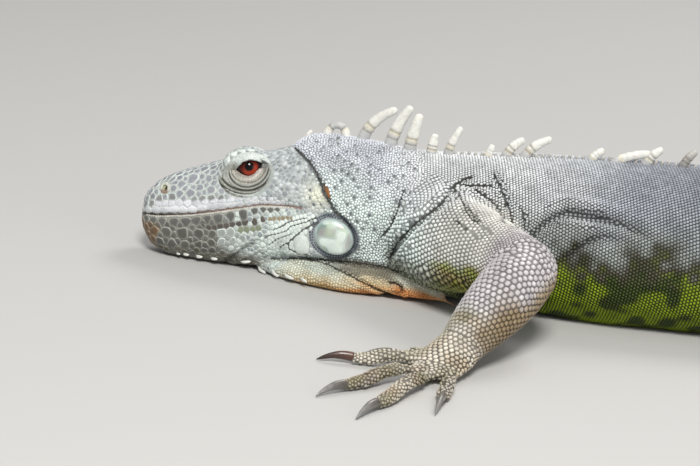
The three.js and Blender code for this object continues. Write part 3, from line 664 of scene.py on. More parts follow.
# Painted shade: the hide's colour darkens inside its creases, where shade falls.
def creaseShade(points):
    at, side, height = bodyPlace(points)
    plane = np.stack([at, height], 1)
    shade = np.ones(len(points))
    for crease in creases.values():
        gap, along = lineDistance(plane, crease["line"])
        fade = np.interp(along, [0, 0.5, 1], crease["fade"]) * min(crease["depth"] / 2, 1)
        shade = np.minimum(shade, 1 - 0.8 * fade * np.exp(-(gap / (0.75 * crease["width"])) ** 2))
    return np.where(np.abs(side) < creaseReach, shade, 1.0)


pathRows = 60  # rows along a leg or a throat fold that distances are taken from
limbLines = []  # (whether it is part of a foot, rows along it, how far along each row lies)
for leg in (foreLeg, hindLeg):
    for side in sides:
        tubes = limbTubes(leg, side)
        down = np.linspace(0, 1, pathRows)
        limbLines.append((False, pathThrough(tubes["whole"], evenShares(tubes["whole"], pathRows)), down))
        down = np.linspace(0, 1, 14)
        limbLines += [(True, pathThrough(rows, down), down) for rows in [tubes["palm"]] + tubes["digits"]]


# How much each point belongs to the trunk, to a leg or to a foot, from its distance to each limb's
# middle line over the limb's own thickness there. Points of a leg also get how far down it they lie, and
# how far below and behind its middle line.
def limbShare(points):
    legGap = np.full(len(points), 9.0)
    footGap = np.full(len(points), 9.0)
    down, below, behind = (np.zeros(len(points)) for _ in range(3))
    for isFoot, rows, share in limbLines:
        lows, highs = rows[:, :3].min(0) - 30, rows[:, :3].max(0) + 30
        inside = np.flatnonzero(((points > lows) & (points < highs)).all(1))
        gap = np.linalg.norm(points[inside, None] - rows[None, :, :3], axis=2) / rows[None, :, 3:5].max(-1)
        nearest = gap.argmin(1)
        gap = gap[np.arange(len(inside)), nearest]
        target = footGap if isFoot else legGap
        closer = gap < target[inside]
        target[inside[closer]] = gap[closer]
        if not isFoot:
            down[inside[closer]] = share[nearest[closer]]
            middle = rows[nearest[closer]]  # the row of the limb that lies nearest
            below[inside[closer]] = (middle[:, 2] - points[inside[closer], 2]) / middle[:, 4]
            behind[inside[closer]] = (points[inside[closer], 0] - middle[:, 0]) / middle[:, 3]
    leg = (1 - smoothStep(legGap, 1.08, 1.36)) * smoothStep(down, 0.12, 0.3)
    foot = 1 - smoothStep(footGap, 1.25, 1.75)
    return {"trunk": 1 - np.maximum(leg, foot), "leg": leg, "foot": foot, "down": down, "below": below,
            "behind": behind}


skinPoints = foldSkin(skinPoints, skinFaces)
skinNormals = vertexNormals(skinPoints, skinFaces)
faceCorners = np.vstack([np.column_stack([part, part[:, -1:]]) if part.shape[1] == 3 else part
                         for part in skinFaces])


# A tree of the skin's faces, for rays and for the nearest place.
def treeOf(points):
    return BVHTree.FromPolygons(points.tolist(), faceCorners.tolist())


skinTree = treeOf(skinPoints)
print("skin: folded")


# A closed curve round a centre: radius by angle in degrees, joined without a seam and softened.
def roundTable(table, angles, soften=5.0):
    table = np.asarray(table, float)
    degrees = np.degrees(angles)[..., None] + np.linspace(-soften, soften, 7)
    return np.interp(degrees, table[:, 0], table[:, 1], period=360).mean(-1)


# Eyelids: angles turn from straight back through up. The opening follows the lid edges, the folds lie
# in arcs under the eye, and the last column is the dark row of scales below them.
lids = {
    "centre": (47.3, 45.0),
    "opening": [(3, 4.9), (14.4, 7.4), (28, 6.1), (35, 5.5), (57, 4.1), (109, 2.9), (161, 3.5), (186, 4.8),
                (198, 5.7), (211, 4.7), (237, 3.9), (262, 3.7), (306, 3.7), (343, 4.1)],
    "outer": [(0, 11.4), (30, 9.6), (60, 7.4), (90, 6.2), (120, 6.6), (150, 7.4), (178, 8.8), (195, 12.6),
              (210, 14.8), (240, 14.6), (270, 13.6), (300, 13), (330, 12.6)],
    # angle: four fold radii
    "folds": [(170, 7.4, 8.8, 11.8, 14), (195, 7.8, 9.0, 12.9, 15.2), (210, 8.0, 9.3, 13.2, 15.4),
              (225, 7.6, 9.4, 12.3, 14.4), (250, 6.9, 9.1, 10.9, 12.9), (270, 6.6, 8.8, 10.3, 12.4),
              (300, 6.8, 8.6, 10.2, 12.1), (330, 7.2, 8.9, 10.6, 12.3), (350, 7.6, 9.2, 10.9, 12.3),
              (10, 8.0, 9.4, 11, 12.2)],
    "foldDepth": (0.45, 0.5, 0.8, 0.55),
    "foldWidth": (0.24, 0.3, 0.5, 0.6),
}
nostril = {"centre": (9.9, 30.7), "outer": 2.7}
shield = {"at": 90, "out": 28.6, "up": 20.7, "size": (9.0, 2.6, 7.9), "turn": 2, "fullness": 0.8}
cheekBulge = (80.5, 37.2)  # the pale swelling in front of the crease behind the head
# centre, how much its length counts, how far the hide swells there (or sinks) and over what width
headSwells = [(cheekBulge, 1, 1.7, 4.2), ((63, 38), 0.55, 1.1, 6.0), ((32, 36), 0.4, -1.0, 3.6)]
earDisc = {"at": 84.7, "up": 39.9, "size": (1.05, 3.9), "tilt": 31, "over": 0.5}
mouthLine = [(-6, 16.9), (1.1, 17.6), (8, 17.9), (15.1, 19.1), (23.7, 20.6), (33.6, 23.1), (44.1, 26.1),
             (55.2, 29.2), (66.6, 30.3), (74.2, 30.1)]


# Distance and angle of places round a centre of the head's plane.
def polar(plane, centre):
    gap = plane - np.asarray(centre)
    return np.hypot(gap[..., 0], gap[..., 1]), np.arctan2(gap[..., 1], gap[..., 0])


# Places of the head's plane at a radius and a turn round a centre.
def aroundPoint(centre, radius, turn):
    return np.stack([centre[0] + radius * np.cos(turn), centre[1] + radius * np.sin(turn)], -1)


# How far inside the eyelids' outer edge a place of the head lies: 0 at the eye, 1 at that edge.
def lidShare(plane):
    radius, angle = polar(plane, lids["centre"])
    return radius / roundTable(lids["outer"], angle)


# The hide gives way behind the eye and nostril, sinks round the shield, swells in front of the crease
# behind the head and along the lips, and is parted by the mouth.
def shapeHead(points):
    at, side, height = bodyPlace(points)
    plane = np.stack([at, height], 1)
    outward = np.sign(side) * (np.abs(side) > 2.5)
    away = np.zeros(len(points))
    away -= 5.2 * (1 - smoothStep(lidShare(plane), 0.68, 0.94)) * (at < 66)
    radius = polar(plane, nostril["centre"])[0]
    away -= 1.9 * (1 - smoothStep(radius, 1.9, 2.8)) * (at < 20)
    gap, along = lineDistance(plane, mouthLine)
    onMouth = (at < 76) * smoothStep(at, -1, 1)
    away -= onMouth * (0.9 * np.exp(-(gap / 0.8) ** 2) * (1 - 0.5 * along))
    above = height - lineHeight(mouthLine, at)
    away += onMouth * 0.5 * np.exp(-((above - 2.6) / 1.5) ** 2)
    away += onMouth * 0.35 * np.exp(-((above + 3.0) / 1.8) ** 2)
    for centre, stretch, swell, width in headSwells:
        away += swell * np.exp(-(np.hypot(*((plane - centre) * (stretch, 1)).T) / width) ** 2)
    ring = np.hypot(*((plane - (shield["at"], shield["up"])) * (0.91, 1)).T)
    away -= 0.9 * np.exp(-((ring - 8.9) / 1.0) ** 2) * (side * outward > 14)
    away *= 1 - smoothStep(at, 104, 110)
    return bodyPoint(at, side + away * outward, height)


bareTree = skinTree
skinPoints = shapeHead(skinPoints)
skinNormals = vertexNormals(skinPoints, skinFaces)
skinTree = treeOf(skinPoints)
print("skin: head shaped")


# A colour of everyday screen values (0 to 255) as the linear values that materials use.
def tone(*screen):
    value = np.array(screen, float) / 255
    return np.where(value <= 0.04045, value / 12.92, ((value + 0.055) / 1.055) ** 2.4)


tones = {}


# Tones by name, from everyday screen values.
def addTones(**screens):
    tones.update({name: tone(*screen) for name, screen in screens.items()})


addTones(pearl=(222, 226, 228), lilac=(212, 217, 225), mist=(230, 243, 241), slate=(146, 152, 163),
         stone=(146, 153, 148), lime=(132, 154, 6), moss=(58, 76, 4), belly=(118, 124, 60),
         armOlive=(132, 130, 56), honey=(196, 162, 104), soot=(74, 70, 54), fawn=(186, 180, 168),
         umber=(96, 86, 66), beige=(220, 220, 214), olive=(142, 138, 92), cream=(196, 188, 172),
         peach=(234, 190, 132), rust=(224, 154, 92), bead=(196, 192, 194), sand=(156, 136, 104),
         keenGreen=(160, 172, 84), linen=(214, 216, 200), tan=(212, 198, 164), dewPale=(212, 220, 208))


# One tone giving way to another; the share has no axis of colours of its own.
def mix(first, second, share):
    share = np.asarray(share, float)[..., None]
    return first * (1 - share) + second * share


# The hide's markings at any place: bands of tone from back to belly that change from head to tail,
# then the legs, feet and throat fan in their own tones, all stirred by noise. Painted shade darkens
# the hide under the front of the foreleg and along the top of the throat's rear fold.
def hideColour(points):
    at, side, height = bodyPlace(points)
    size = curveThrough(body["sections"], at)
    rise = (height - size[:, 2]) / (size[:, 0] - size[:, 2])
    wobble = noiseAt(points, 14) - 0.5
    fine = noiseAt(points, 4.5, 7.3) - 0.5
    rise = rise + 0.12 * wobble
    back = mix(mix(tones["lilac"], tones["pearl"], smoothStep(at, 100, 130)), tones["slate"],
               smoothStep(at + 30 * wobble, 150, 250))
    flank = mix(tones["mist"], tones["stone"], smoothStep(at + 20 * wobble, 130, 190))
    greens = mix(tones["lime"], tones["moss"], smoothStep(noiseAt(points, 7, 2.2), 0.4, 0.65))
    lowFlank = mix(tones["mist"], greens, smoothStep(at + 24 * wobble, 130, 160))
    lowFlank = mix(lowFlank, tones["olive"], smoothStep(at, 330, 420))
    under = mix(tones["mist"], tones["belly"], smoothStep(at, 90, 140))
    colour = mix(flank, back, smoothStep(rise, 0.55, 0.86))
    colour = mix(mix(colour, tones["soot"], smoothStep(at + 24 * wobble, 150, 190)), colour,
                 smoothStep(rise + 0.2 * fine, 0.5, 0.64))
    colour = mix(lowFlank, colour, smoothStep(rise + 0.25 * fine, 0.36, 0.54))
    colour = mix(under, colour, smoothStep(rise, 0.0, 0.06))
    wave = 0.5 + 0.5 * np.sin(2 * np.pi * (at - 236 + 10 * wobble) / 62)  # dark bands 62 mm apart
    band = smoothStep(wave, 0.45, 0.8) * smoothStep(at, 235, 330)
    colour = mix(colour, tones["umber"], 0.42 * band * smoothStep(rise, 0.1, 0.5))
    # painted shadow: the hide under the front of the foreleg darkens toward a dim olive
    tuck = smoothStep(-rise, -0.42, -0.2) * smoothStep(at, 110, 120) * (1 - smoothStep(at, 138, 150))
    colour = mix(colour, tones["armOlive"] * 0.75, 0.7 * tuck)
    share = limbShare(points)
    below = share["below"] + 0.7 * wobble + 0.4 * fine
    rear = below + 0.7 * share["behind"]
    upper = mix(tones["beige"], tones["armOlive"], smoothStep(below, 0.08, 0.62))
    upper = mix(upper, tones["keenGreen"], 0.6 * smoothStep(noiseAt(points, 7, 3.4), 0.46, 0.6)
                * smoothStep(below, 0.1, 0.5) * smoothStep(-share["behind"], -0.3, 0.2))
    upper = mix(upper, tones["sand"],
                0.7 * smoothStep(noiseAt(points, 6, 8.1), 0.48, 0.62) * smoothStep(below, 0.2, 0.7))
    tanned = rear + 0.8 * smoothStep(share["down"], 0.72, 0.84)
    lower = mix(tones["bead"], tones["sand"], 0.95 * smoothStep(tanned, 0.15, 0.85))
    lower = mix(lower, tones["linen"],
                0.85 * smoothStep(share["down"], 0.86, 0.96) * (1 - smoothStep(rear, -0.25, 0.3)))
    leg = mix(upper, lower, smoothStep(share["down"], 0.42, 0.5))
    rearLeg = mix(leg, tones["stone"], 0.6 * smoothStep(at, 200, 300))
    colour = mix(colour, rearLeg, share["leg"])
    foot = mix(tones["fawn"], tones["cream"], smoothStep(wobble, -0.15, 0.2))
    foot = mix(foot, tones["sand"], 0.5 * smoothStep(noiseAt(points, 6, 1.9), 0.52, 0.66))
    foot = mix(foot, tones["olive"], 0.4 * smoothStep(noiseAt(points, 9, 5.5), 0.5, 0.68))
    colour = mix(colour, foot, share["foot"])
    limb = np.maximum(share["leg"], share["foot"])
    wrist = smoothStep(share["down"], 0.76, 0.86) * limb
    turned = smoothStep(share["behind"] + 0.6 * share["below"] + 0.5 * wobble, -0.7, 0.2)
    colour = mix(colour, tones["sand"] * 0.86,
                 0.8 * wrist * turned * (1 - smoothStep(share["down"], 0.96, 1.0)))
    colour = mix(colour, tones["beige"], 0.2 * smoothStep(share["down"], 0.9, 0.98) * limb * (1 - turned))
    top = lineHeight(creases["throatTop"]["line"], at)
    under = smoothStep(top - height, -0.2, 0.5) * smoothStep(at, 62, 74) * (1 - smoothStep(at, 112, 124))
    colour = mix(colour, tones["linen"], under * (np.abs(side + 24) < 20))
    for rows in throatFolds:
        inside, rise, along = foldShare(points, rows)
        rise = rise + 0.5 * fine
        fold = mix(tones["linen"], tones["tan"], smoothStep(-rise, -0.7, 0.0))
        fold = mix(fold, tones["dewPale"], smoothStep(-along, -0.42, -0.12))
        isRear = rows is throatFolds[1]
        edge = tones["peach"] if isRear else tones["honey"]
        fold = mix(fold, edge, 0.9 * smoothStep(-rise, 0.0, 0.6) * smoothStep(along, 0.12, 0.5))
        orange = (0.52, 0.6, -0.45, 0.15) if isRear else (0.5, 0.8, 0.0, 0.5)
        fold = mix(fold, tones["rust"], smoothStep(along, *orange[:2]) * smoothStep(-rise, *orange[2:]))
        fold = mix(fold, tones["rust"], smoothStep(along, 0.8, 0.95))
        if isRear:
            # painted shade: the top of the rear fold darkens toward umber where it turns into the crevice
            # above it
            fold = mix(fold, tones["umber"], 0.75 * smoothStep(rise, 0.0, 0.5) * smoothStep(along, 0.1, 0.3)
                       * (1 - smoothStep(along, 0.5, 0.62)))
        colour = mix(colour, fold, inside)
    return colour * (1 + 0.3 * fine + 0.16 * wobble)[:, None]


# How much each point belongs to a fold of the throat, how high on the fold it lies (-1 to 1) and how far
# along it.
def foldShare(points, rows):
    line = pathThrough(rows, evenShares(rows, pathRows))
    near = np.flatnonzero(((points > line[:, :3].min(0) - 12) & (points < line[:, :3].max(0) + 12)).all(1))
    gap = points[near, None] - line[None, :, :3]
    flat = np.hypot(gap[..., 0], gap[..., 1]) / line[:, 3]
    upright = gap[..., 2] / line[:, 4]
    reach = np.hypot(flat, upright)
    nearest = reach.argmin(1)
    pick = (np.arange(len(near)), nearest)
    inside, rise, along = np.zeros(len(points)), np.zeros(len(points)), np.zeros(len(points))
    inside[near] = 1 - smoothStep(reach[pick], 1.15, 1.4)
    rise[near], along[near] = upright[pick], nearest / (pathRows - 1)
    return inside, rise, along


# Places in bricks over the body: rows across the back, columns down each side by distance round the
# ring. The spacing changes slowly along the back, so the columns fan out with it.
lattice = {
    "pitch": [(0, 2.2), (58, 2.2), (68, 1.5), (95, 1.34), (128, 1.45), (150, 1.5), (230, 1.65), (300, 2.0),
              (345, 2.2), (404, 2.5), (560, 2.9), (700, 2.9), (900, 2.6), (1100, 2.1), (1330, 1.5)],
    "rowShare": 0.87,  # rows stand closer than columns, as in a honeycomb
    "bellyFrom": 0.7,
    "bellyGrowth": 0.8,
    "end": 1324,
}


zoneBorders = (66, 126, 410)  # where the head, neck and trunk end


def bodyLattice():
    fineAt = np.arange(0.5, lattice["end"], 0.5)
    pitch = curveThrough(lattice["pitch"], fineAt)[:, 0]
    counted = np.concatenate([[0], np.cumsum(0.5 / (pitch[:-1] * lattice["rowShare"]))])
    rowAt = np.interp(np.arange(1, int(counted[-1])), counted, fineAt)
    rowPitch = curveThrough(lattice["pitch"], rowAt)[:, 0]
    angles = np.linspace(np.pi / 2, -np.pi / 2, 181)
    rings = bodyRings(rowAt, angles)
    length = np.concatenate([np.zeros((len(rowAt), 1)),
                             np.cumsum(np.linalg.norm(np.diff(rings, axis=1), axis=2), axis=1)], 1)
    share = length / length[:, -1:]
    swell = 1 + lattice["bellyGrowth"] * smoothStep(share, lattice["bellyFrom"], lattice["bellyFrom"] + 0.15)
    steps = np.diff(length, axis=1) / (rowPitch[:, None] * 0.5 * (swell[:, 1:] + swell[:, :-1]))
    column = np.concatenate([np.zeros((len(rowAt), 1)), np.cumsum(steps, axis=1)], 1)
    made = []
    for row, counts in enumerate(column):
        half = int(counts[-1])
        index = np.arange(-half, half + 1) + 0.5 * (row % 2)
        index = index[np.abs(index) <= counts[-1]]
        turn = np.interp(np.abs(index), counts, angles)
        made.append(np.stack([np.full(len(index), rowAt[row]), np.where(index < 0, np.pi - turn, turn),
                              np.full(len(index), rowPitch[row]),
                              np.sign(index) * np.interp(np.abs(index), counts, share[row]),
                              np.interp(np.abs(index), counts, swell[row])]))
    at, turn, span, arc, growth = np.concatenate(made, 1)
    places = bodyRings(at, turn[:, None])[:, 0]
    ahead = bodyRings(at + 1, turn[:, None])[:, 0]
    zone = np.array(["head", "neck", "trunk", "tail"])[np.searchsorted(zoneBorders, at, side="right")]
    return {"place": places, "lie": unit(ahead - places), "radius": span / 2 * (0.5 + 0.5 * growth),
            "zone": zone, "unwrap": np.stack([at / body["length"], 0.5 + 0.5 * arc], 1)}


# Places in bricks round a limb: a fixed number of columns, with rows as far apart as columns are there.
def tubeLattice(rows, columns, zone, tile, skip=0.0, until=1.0):
    fine = np.linspace(skip, until, 500)
    row = pathThrough(rows, fine)
    step = np.linalg.norm(np.diff(row[:, :3], axis=0), axis=1)
    width = 2 * np.pi * np.sqrt((row[:, 3] ** 2 + row[:, 4] ** 2) / 2) / columns
    counted = np.concatenate([[0], np.cumsum(step / (width[1:] * lattice["rowShare"]))])
    share = np.interp(np.arange(0.5, counted[-1]), counted, fine)
    span = np.interp(share, fine, width)
    index = np.arange(columns)[None, :] + 0.5 * (np.arange(len(share)) % 2)[:, None]
    angles = 2 * np.pi * index / columns
    points, tangent = tubeRings(rows, share, angles)
    count = points.shape[0] * columns
    lie = np.repeat(tangent[:, None], columns, axis=1)
    unwrap = np.stack([np.repeat(share[:, None], columns, 1), angles / (2 * np.pi)], -1)
    return {"place": points.reshape(-1, 3), "lie": lie.reshape(-1, 3), "radius": np.repeat(span / 2, columns),
            "zone": np.full(count, zone), "unwrap": (unwrap.reshape(-1, 2) * tile[1] + tile[0])}


# Seeds are rows of arrays: the place, radius and normal of each scale, the way it lies, the zone that
# it belongs to, its place on the unwrap, and tones of its own where it has them.
def joinSeeds(parts):
    return {key: np.concatenate([part[key] for part in parts]) for key in parts[0]}


# The seeds that are kept, by index or by mask.
def keepSeeds(seeds, kept):
    return {key: value[kept] for key, value in seeds.items()}


# The nearest targets of each place, and how far they are.
def nearestSeeds(places, targets, count):
    tree = KDTree(len(targets))
    for index, target in enumerate(targets.tolist()):
        tree.insert(target, index)
    tree.balance()
    found = np.array([[(hit[1], hit[2]) for hit in tree.find_n(place, count)] for place in places.tolist()])
    return found[..., 0].astype(int), found[..., 1]


# seeds with a set place, those of lower rank than this, may stand closer together; wide ones keep clear
thinning = {"neighbours": 24, "rounds": 40, "setRank": 0.45, "setCloseness": 0.3, "wideFrom": 3}


# Places that lie too close to one of higher rank (a lower number) are dropped, over and over until
# nothing changes, as if they had been laid one by one.
def thinSeeds(seeds, rank, closeness=0.66):
    found, gap = nearestSeeds(seeds["place"], seeds["place"], thinning["neighbours"])
    radius = seeds["radius"]
    rank = rank + np.arange(len(rank)) * 1e-7
    near = np.where(rank[:, None] < thinning["setRank"], thinning["setCloseness"], closeness)
    room = near * (radius[:, None] + radius[found])
    room = np.where(radius[found] > thinning["wideFrom"], np.maximum(room, 0.94 * radius[found] + 0.2), room)
    beaten = (gap < room) & (rank[found] < rank[:, None])
    kept = np.ones(len(rank), bool)
    for _ in range(thinning["rounds"]):
        again = ~(beaten & kept[found]).any(1)
        if (again == kept).all():
            break
        kept = again
    return keepSeeds(seeds, kept)


# Seeds move to the nearest place of the skin and take its normal; those that lie deep inside it go.
def snapSeeds(seeds, reach=2.4):
    hits = [skinTree.find_nearest(place) for place in seeds["place"].tolist()]
    places = np.array([hit[0] for hit in hits])
    faces = np.array([hit[2] for hit in hits])
    seeds["normal"] = unit(skinNormals[faceCorners[faces]].mean(1))
    kept = np.linalg.norm(places - seeds["place"], axis=1) < reach + 1.2 * seeds["radius"]
    seeds["place"] = places
    seeds["lie"] = unit(seeds["lie"] - (seeds["lie"] * seeds["normal"]).sum(1)[:, None] * seeds["normal"])
    return keepSeeds(seeds, kept)


# Bare patches get seeds too: skin vertices far from every seed, thinned to the spacing around them.
def fillSeeds(seeds, rounds=2):
    for _ in range(rounds):
        drawn = np.flatnonzero(seeds["zone"] != "parting")
        lines = np.flatnonzero(seeds["zone"] == "parting")
        found, gap = nearestSeeds(skinPoints, seeds["place"][drawn], 1)
        found, gap = drawn[found[:, 0]], gap[:, 0]
        toLine, lineGap = nearestSeeds(skinPoints, seeds["place"][lines], 1)
        toLine, lineGap = lines[toLine[:, 0]], lineGap[:, 0]
        wanted = np.maximum(1.45 * seeds["radius"][found], 1.0)
        at, _, height = bodyPlace(skinPoints)
        inFace = onFace(at, height)
        wanted = np.where(inFace, 1.3 * headGrain(at, height), wanted)
        wide = np.flatnonzero((seeds["radius"] > 1.3) & np.isin(seeds["zone"], ["head", "plate", "lip"]))
        toWide, wideGap = nearestSeeds(skinPoints, seeds["place"][wide], 3)
        onPlate = (wideGap < 0.95 * seeds["radius"][wide][toWide] + 0.3).any(1)
        offLine = lineGap > seeds["radius"][toLine] + 0.5 * seeds["radius"][found]
        bare = np.flatnonzero((gap > wanted) & ~onPlate & offLine)
        bare = bare[~isCovered(skinPoints[bare])]
        extra = {key: value[found[bare]] for key, value in seeds.items()}
        plates = np.isin(extra["zone"], ["plate", "lip", "ring", "tubercle", "parting"])
        extra["zone"] = np.where(plates, "head", extra["zone"])
        extra["radius"] = np.where(plates, 0.9, extra["radius"])
        extra["radius"] = np.where(inFace[bare], 0.8 * headGrain(at[bare], height[bare]), extra["radius"])
        extra["centre"] = np.where(plates[:, None], np.nan, extra["centre"])
        extra["border"] = np.where(plates[:, None], np.nan, extra["border"])
        extra["place"] = skinPoints[bare]
        extra["normal"] = skinNormals[bare]
        extra["unwrap"] = extra["unwrap"] + 0.004 * random.standard_normal((len(bare), 2))
        slant = (extra["lie"] * extra["normal"]).sum(1)[:, None]
        extra["lie"] = unit(extra["lie"] - slant * extra["normal"])
        extra = thinSeeds(extra, random.random(len(bare)), 0.82)
        seeds = joinSeeds([seeds, extra])
    return seeds


# Large scales of the head, as (distance from the snout, height, radius), with the tones of their middle
# and of their border.
headPlates = {
    "snoutTop": {"tones": ("plateGrey", "rim"), "places": [
        (3.7, 29.7, 1.9), (4.9, 26.2, 1.5), (7.2, 33.6, 1.7), (11.7, 36.0, 2.2), (15.6, 37.6, 1.9),
        (22.6, 36.3, 3.7), (26.9, 41.3, 2.3), (31.4, 42.5, 2.0), (30.0, 37.4, 2.2), (34.4, 44.5, 1.7),
        (34.2, 40.1, 1.6), (19.2, 41.0, 2.0), (14.6, 33.6, 1.5)]},
    "snoutSide": {"tones": ("plateGrey", "rim"), "places": [
        (17.8, 33.4, 2.5), (22.3, 30.2, 2.5), (26.5, 33.0, 2.5), (31.6, 32.6, 2.6), (35.2, 35.9, 1.7),
        (36.6, 32.9, 1.6), (17.6, 28.9, 1.9)]},
    "lidRow": {"tones": ("sootGrey", "rim"), "places": [
        (14.2, 27.0, 1.7), (24.4, 27.6, 1.3), (28.1, 28.5, 1.6), (32.5, 29.3, 1.7), (36.8, 30.0, 1.4),
        (8.4, 25.6, 1.7), (4.7, 22.6, 1.5)]},
    "loreal": {"tones": ("lilacWhite", "lilacWhite"), "places": [
        (8.0, 23.2, 1.4), (11.0, 23.7, 1.5), (14.2, 24.3, 1.6), (17.6, 24.8, 1.7), (21.4, 25.2, 1.7),
        (25.4, 25.9, 1.6), (29.4, 26.7, 1.6), (33.4, 27.6, 1.6), (37.4, 28.5, 1.5), (41.4, 29.3, 1.5),
        (45.2, 30.2, 1.5), (49.0, 31.0, 1.4), (52.6, 31.6, 1.4), (56.2, 32.0, 1.3), (59.6, 32.4, 1.3)]},
    "upperLip": {"tones": ("lilacWhite", "lipRim"), "places": [
        (3.4, 19.6, 1.7), (7.0, 20.2, 1.9), (11.0, 20.6, 2.0), (15.1, 21.5, 2.1), (19.5, 22.2, 2.2),
        (24.0, 23.1, 2.2), (28.5, 24.1, 2.2), (33.0, 25.3, 2.2), (37.4, 26.6, 2.2), (41.7, 27.6, 2.1),
        (45.8, 28.5, 1.9), (49.7, 29.4, 1.8), (53.3, 30.5, 1.6), (56.7, 31.0, 1.4), (59.8, 31.3, 1.3),
        (62.8, 31.5, 1.2), (65.6, 31.6, 1.1)]},
    "lowerLip": {"tones": ("slateGrey", "jawRim"), "places": [
        (3.0, 15.9, 1.8), (6.6, 15.6, 1.9), (10.8, 15.5, 2.4), (16.4, 16.1, 2.9), (21.6, 16.9, 2.4),
        (26.8, 18.2, 2.6), (31.6, 19.5, 2.1), (36.6, 20.5, 2.7), (42.2, 22.5, 2.5), (47.6, 24.3, 2.6),
        (52.8, 26.2, 1.9), (56.6, 27.2, 1.6), (60.0, 27.7, 1.4), (63.0, 28.2, 1.3)]},
    "lipEdge": {"tones": ("lipEdge", "lipEdge"), "places": [
        (at, lineHeight(mouthLine, at) - 0.62, 0.48) for at in np.arange(3, 68, 1.1)]},
    # painted shadow: the row of scales under the lip is dark, as shadow in the groove there
    "underLip": {"tones": ("coal", "jawDim"), "places": [
        (32.6, 15.5, 1.15), (35.2, 16.0, 1.1), (37.9, 16.9, 1.2), (40.6, 17.6, 1.2), (43.4, 18.4, 1.2),
        (46.1, 19.2, 1.1), (49.4, 20.5, 1.4), (53.4, 21.3, 1.5), (57.2, 22.4, 1.5)]},
    "chin": {"tones": ("chinTan", "chinRim"), "places": [
        (3.4, 11.4, 2.0), (7.4, 10.6, 2.6), (4.8, 6.8, 2.2)]},
    "jaw": {"tones": ("jawGrey", "jawRim"), "places": [
        (13.4, 10.9, 3.1), (20.8, 11.4, 3.6), (28.4, 12.2, 3.1), (34.6, 12.6, 2.2), (34.4, 8.9, 2.1),
        (10.4, 6.2, 2.2), (16.2, 5.8, 2.6), (22.6, 6.2, 2.4), (28.6, 7.2, 2.2), (31.4, 4.6, 1.7),
        (26.0, 2.8, 1.7)]},
    "jawRear": {"tones": ("jawPale", "jowlPale"), "places": [
        (38.9, 13.8, 2.2), (43.2, 15.0, 2.1), (39.2, 9.8, 2.1), (44.4, 10.8, 2.0),
        (48.6, 13.0, 1.9)]},
    "moss": {"tones": ("green", "jawRim"), "places": [
        (47.4, 16.4, 1.3), (50.2, 16.9, 1.4), (53.0, 17.4, 1.3), (55.4, 18.6, 1.2)]},
    "tawny": {"tones": ("tawny", "jawRim"), "places": [
        (60.3, 23.4, 0.9), (62.2, 23.9, 0.9), (64.2, 24.2, 0.9), (66.2, 24.5, 0.9), (68.2, 24.7, 0.85),
        (70.0, 24.9, 0.8)]},
    "brow": {"tones": ("browWhite", "browWhite"), "places": [
        (39.9, 50.3, 1.5), (43.4, 52.1, 1.6), (47.2, 52.9, 1.6), (51.0, 52.7, 1.5), (37.6, 47.6, 1.4)]},
    "smallShield": {"tones": ("pinkPearl", "rim"), "places": [(75.6, 15.0, 4.5)]},
}
lipRows = ("loreal", "upperLip", "lipEdge", "brow", "smallShield")
addTones(plateGrey=(138, 141, 148), rim=(208, 217, 213), rimRear=(192, 200, 197), sootGrey=(132, 134, 134),
         lilacWhite=(200, 203, 208), lipRim=(222, 226, 226), slateGrey=(92, 93, 91), lipEdge=(190, 191, 184),
         coal=(84, 79, 75), jawRim=(158, 160, 152), jawDim=(124, 124, 116), chinTan=(106, 84, 62),
         chinRim=(158, 142, 120), jawGrey=(88, 88, 84), jawPale=(156, 162, 160), green=(132, 141, 116),
         tawny=(150, 138, 112), browWhite=(214, 223, 219), pinkPearl=(212, 222, 216),
         tubercle=(100, 104, 114), ring=(84, 90, 108), granuleGrey=(136, 142, 148),
         granulePale=(186, 192, 196), jowlPale=(216, 227, 222), underJaw=(84, 78, 62),
         crevice=(40, 40, 34), yellowPale=(236, 238, 218))


# The side of the hide at places of the head seen from the side: a ray from outside, square to the
# head's own upright plane.
def onHead(plane, side, tree):
    plane = np.asarray(plane, float)
    outer = bodyPoint(plane[:, 0], side * 70.0, plane[:, 1])
    inner = bodyPoint(plane[:, 0], 0.0, plane[:, 1])
    ways = unit(inner - outer)
    hits = [tree.ray_cast(start, way) for start, way in zip(outer.tolist(), ways.tolist())]
    missed = np.array([hit[0] is None for hit in hits])
    points = np.array([hit[0] or (0, 0, 0) for hit in hits], float)
    return points, missed


# Seeds of one zone of the head, lying straight back. They take their place on the unwrap from the
# head's own upright plane.
def makeSeeds(points, plane, side, radius, zone, rank, pair):
    count = len(points)
    return {"place": points, "lie": np.tile([1.0, 0, 0], (count, 1)), "radius": radius,
            "zone": np.full(count, zone), "rank": np.full(count, rank),
            "unwrap": np.stack([plane[:, 0] / body["length"], 0.5 + side * (0.3 - plane[:, 1] / 400)], 1),
            "centre": np.tile(pair[0], (count, 1)), "border": np.tile(pair[1], (count, 1))}


# Seeds where rays from the side meet the head, with a pair of tones of their own.
def seedsOnHead(places, side, pair, zone, rank):
    rows = np.asarray(places, float)
    points, missed = onHead(rows[:, :2], side, skinTree)
    return keepSeeds(makeSeeds(points, rows, side, rows[:, 2].copy(), zone, rank, pair), ~missed)


# Places at an even step along a bent line.
def alongLine(line, step):
    line = np.asarray(line, float)
    length = np.concatenate([[0], np.cumsum(np.linalg.norm(np.diff(line, axis=0), axis=1))])
    where = np.arange(step / 2, length[-1], step)
    return np.stack([np.interp(where, length, line[:, k]) for k in (0, 1)], 1)


# Places at an even step round a centre, at one radius or at one that depends on the turn.
def roundPlaces(centre, radii, step):
    turn = fullTurn(720)
    curve = aroundPoint(centre, radii(turn) if callable(radii) else radii, turn)
    return alongLine(np.vstack([curve, curve[:1]]), step)


# Places round the jowl shield at an even distance from its oval edge.
def aroundShield(beyond, step):
    wide, high = shield["size"][0] + beyond, shield["size"][2] + beyond
    reach = lambda turn: wide * high / np.hypot(high * np.cos(turn), wide * np.sin(turn))
    return roundPlaces((shield["at"], shield["up"]), reach, step)


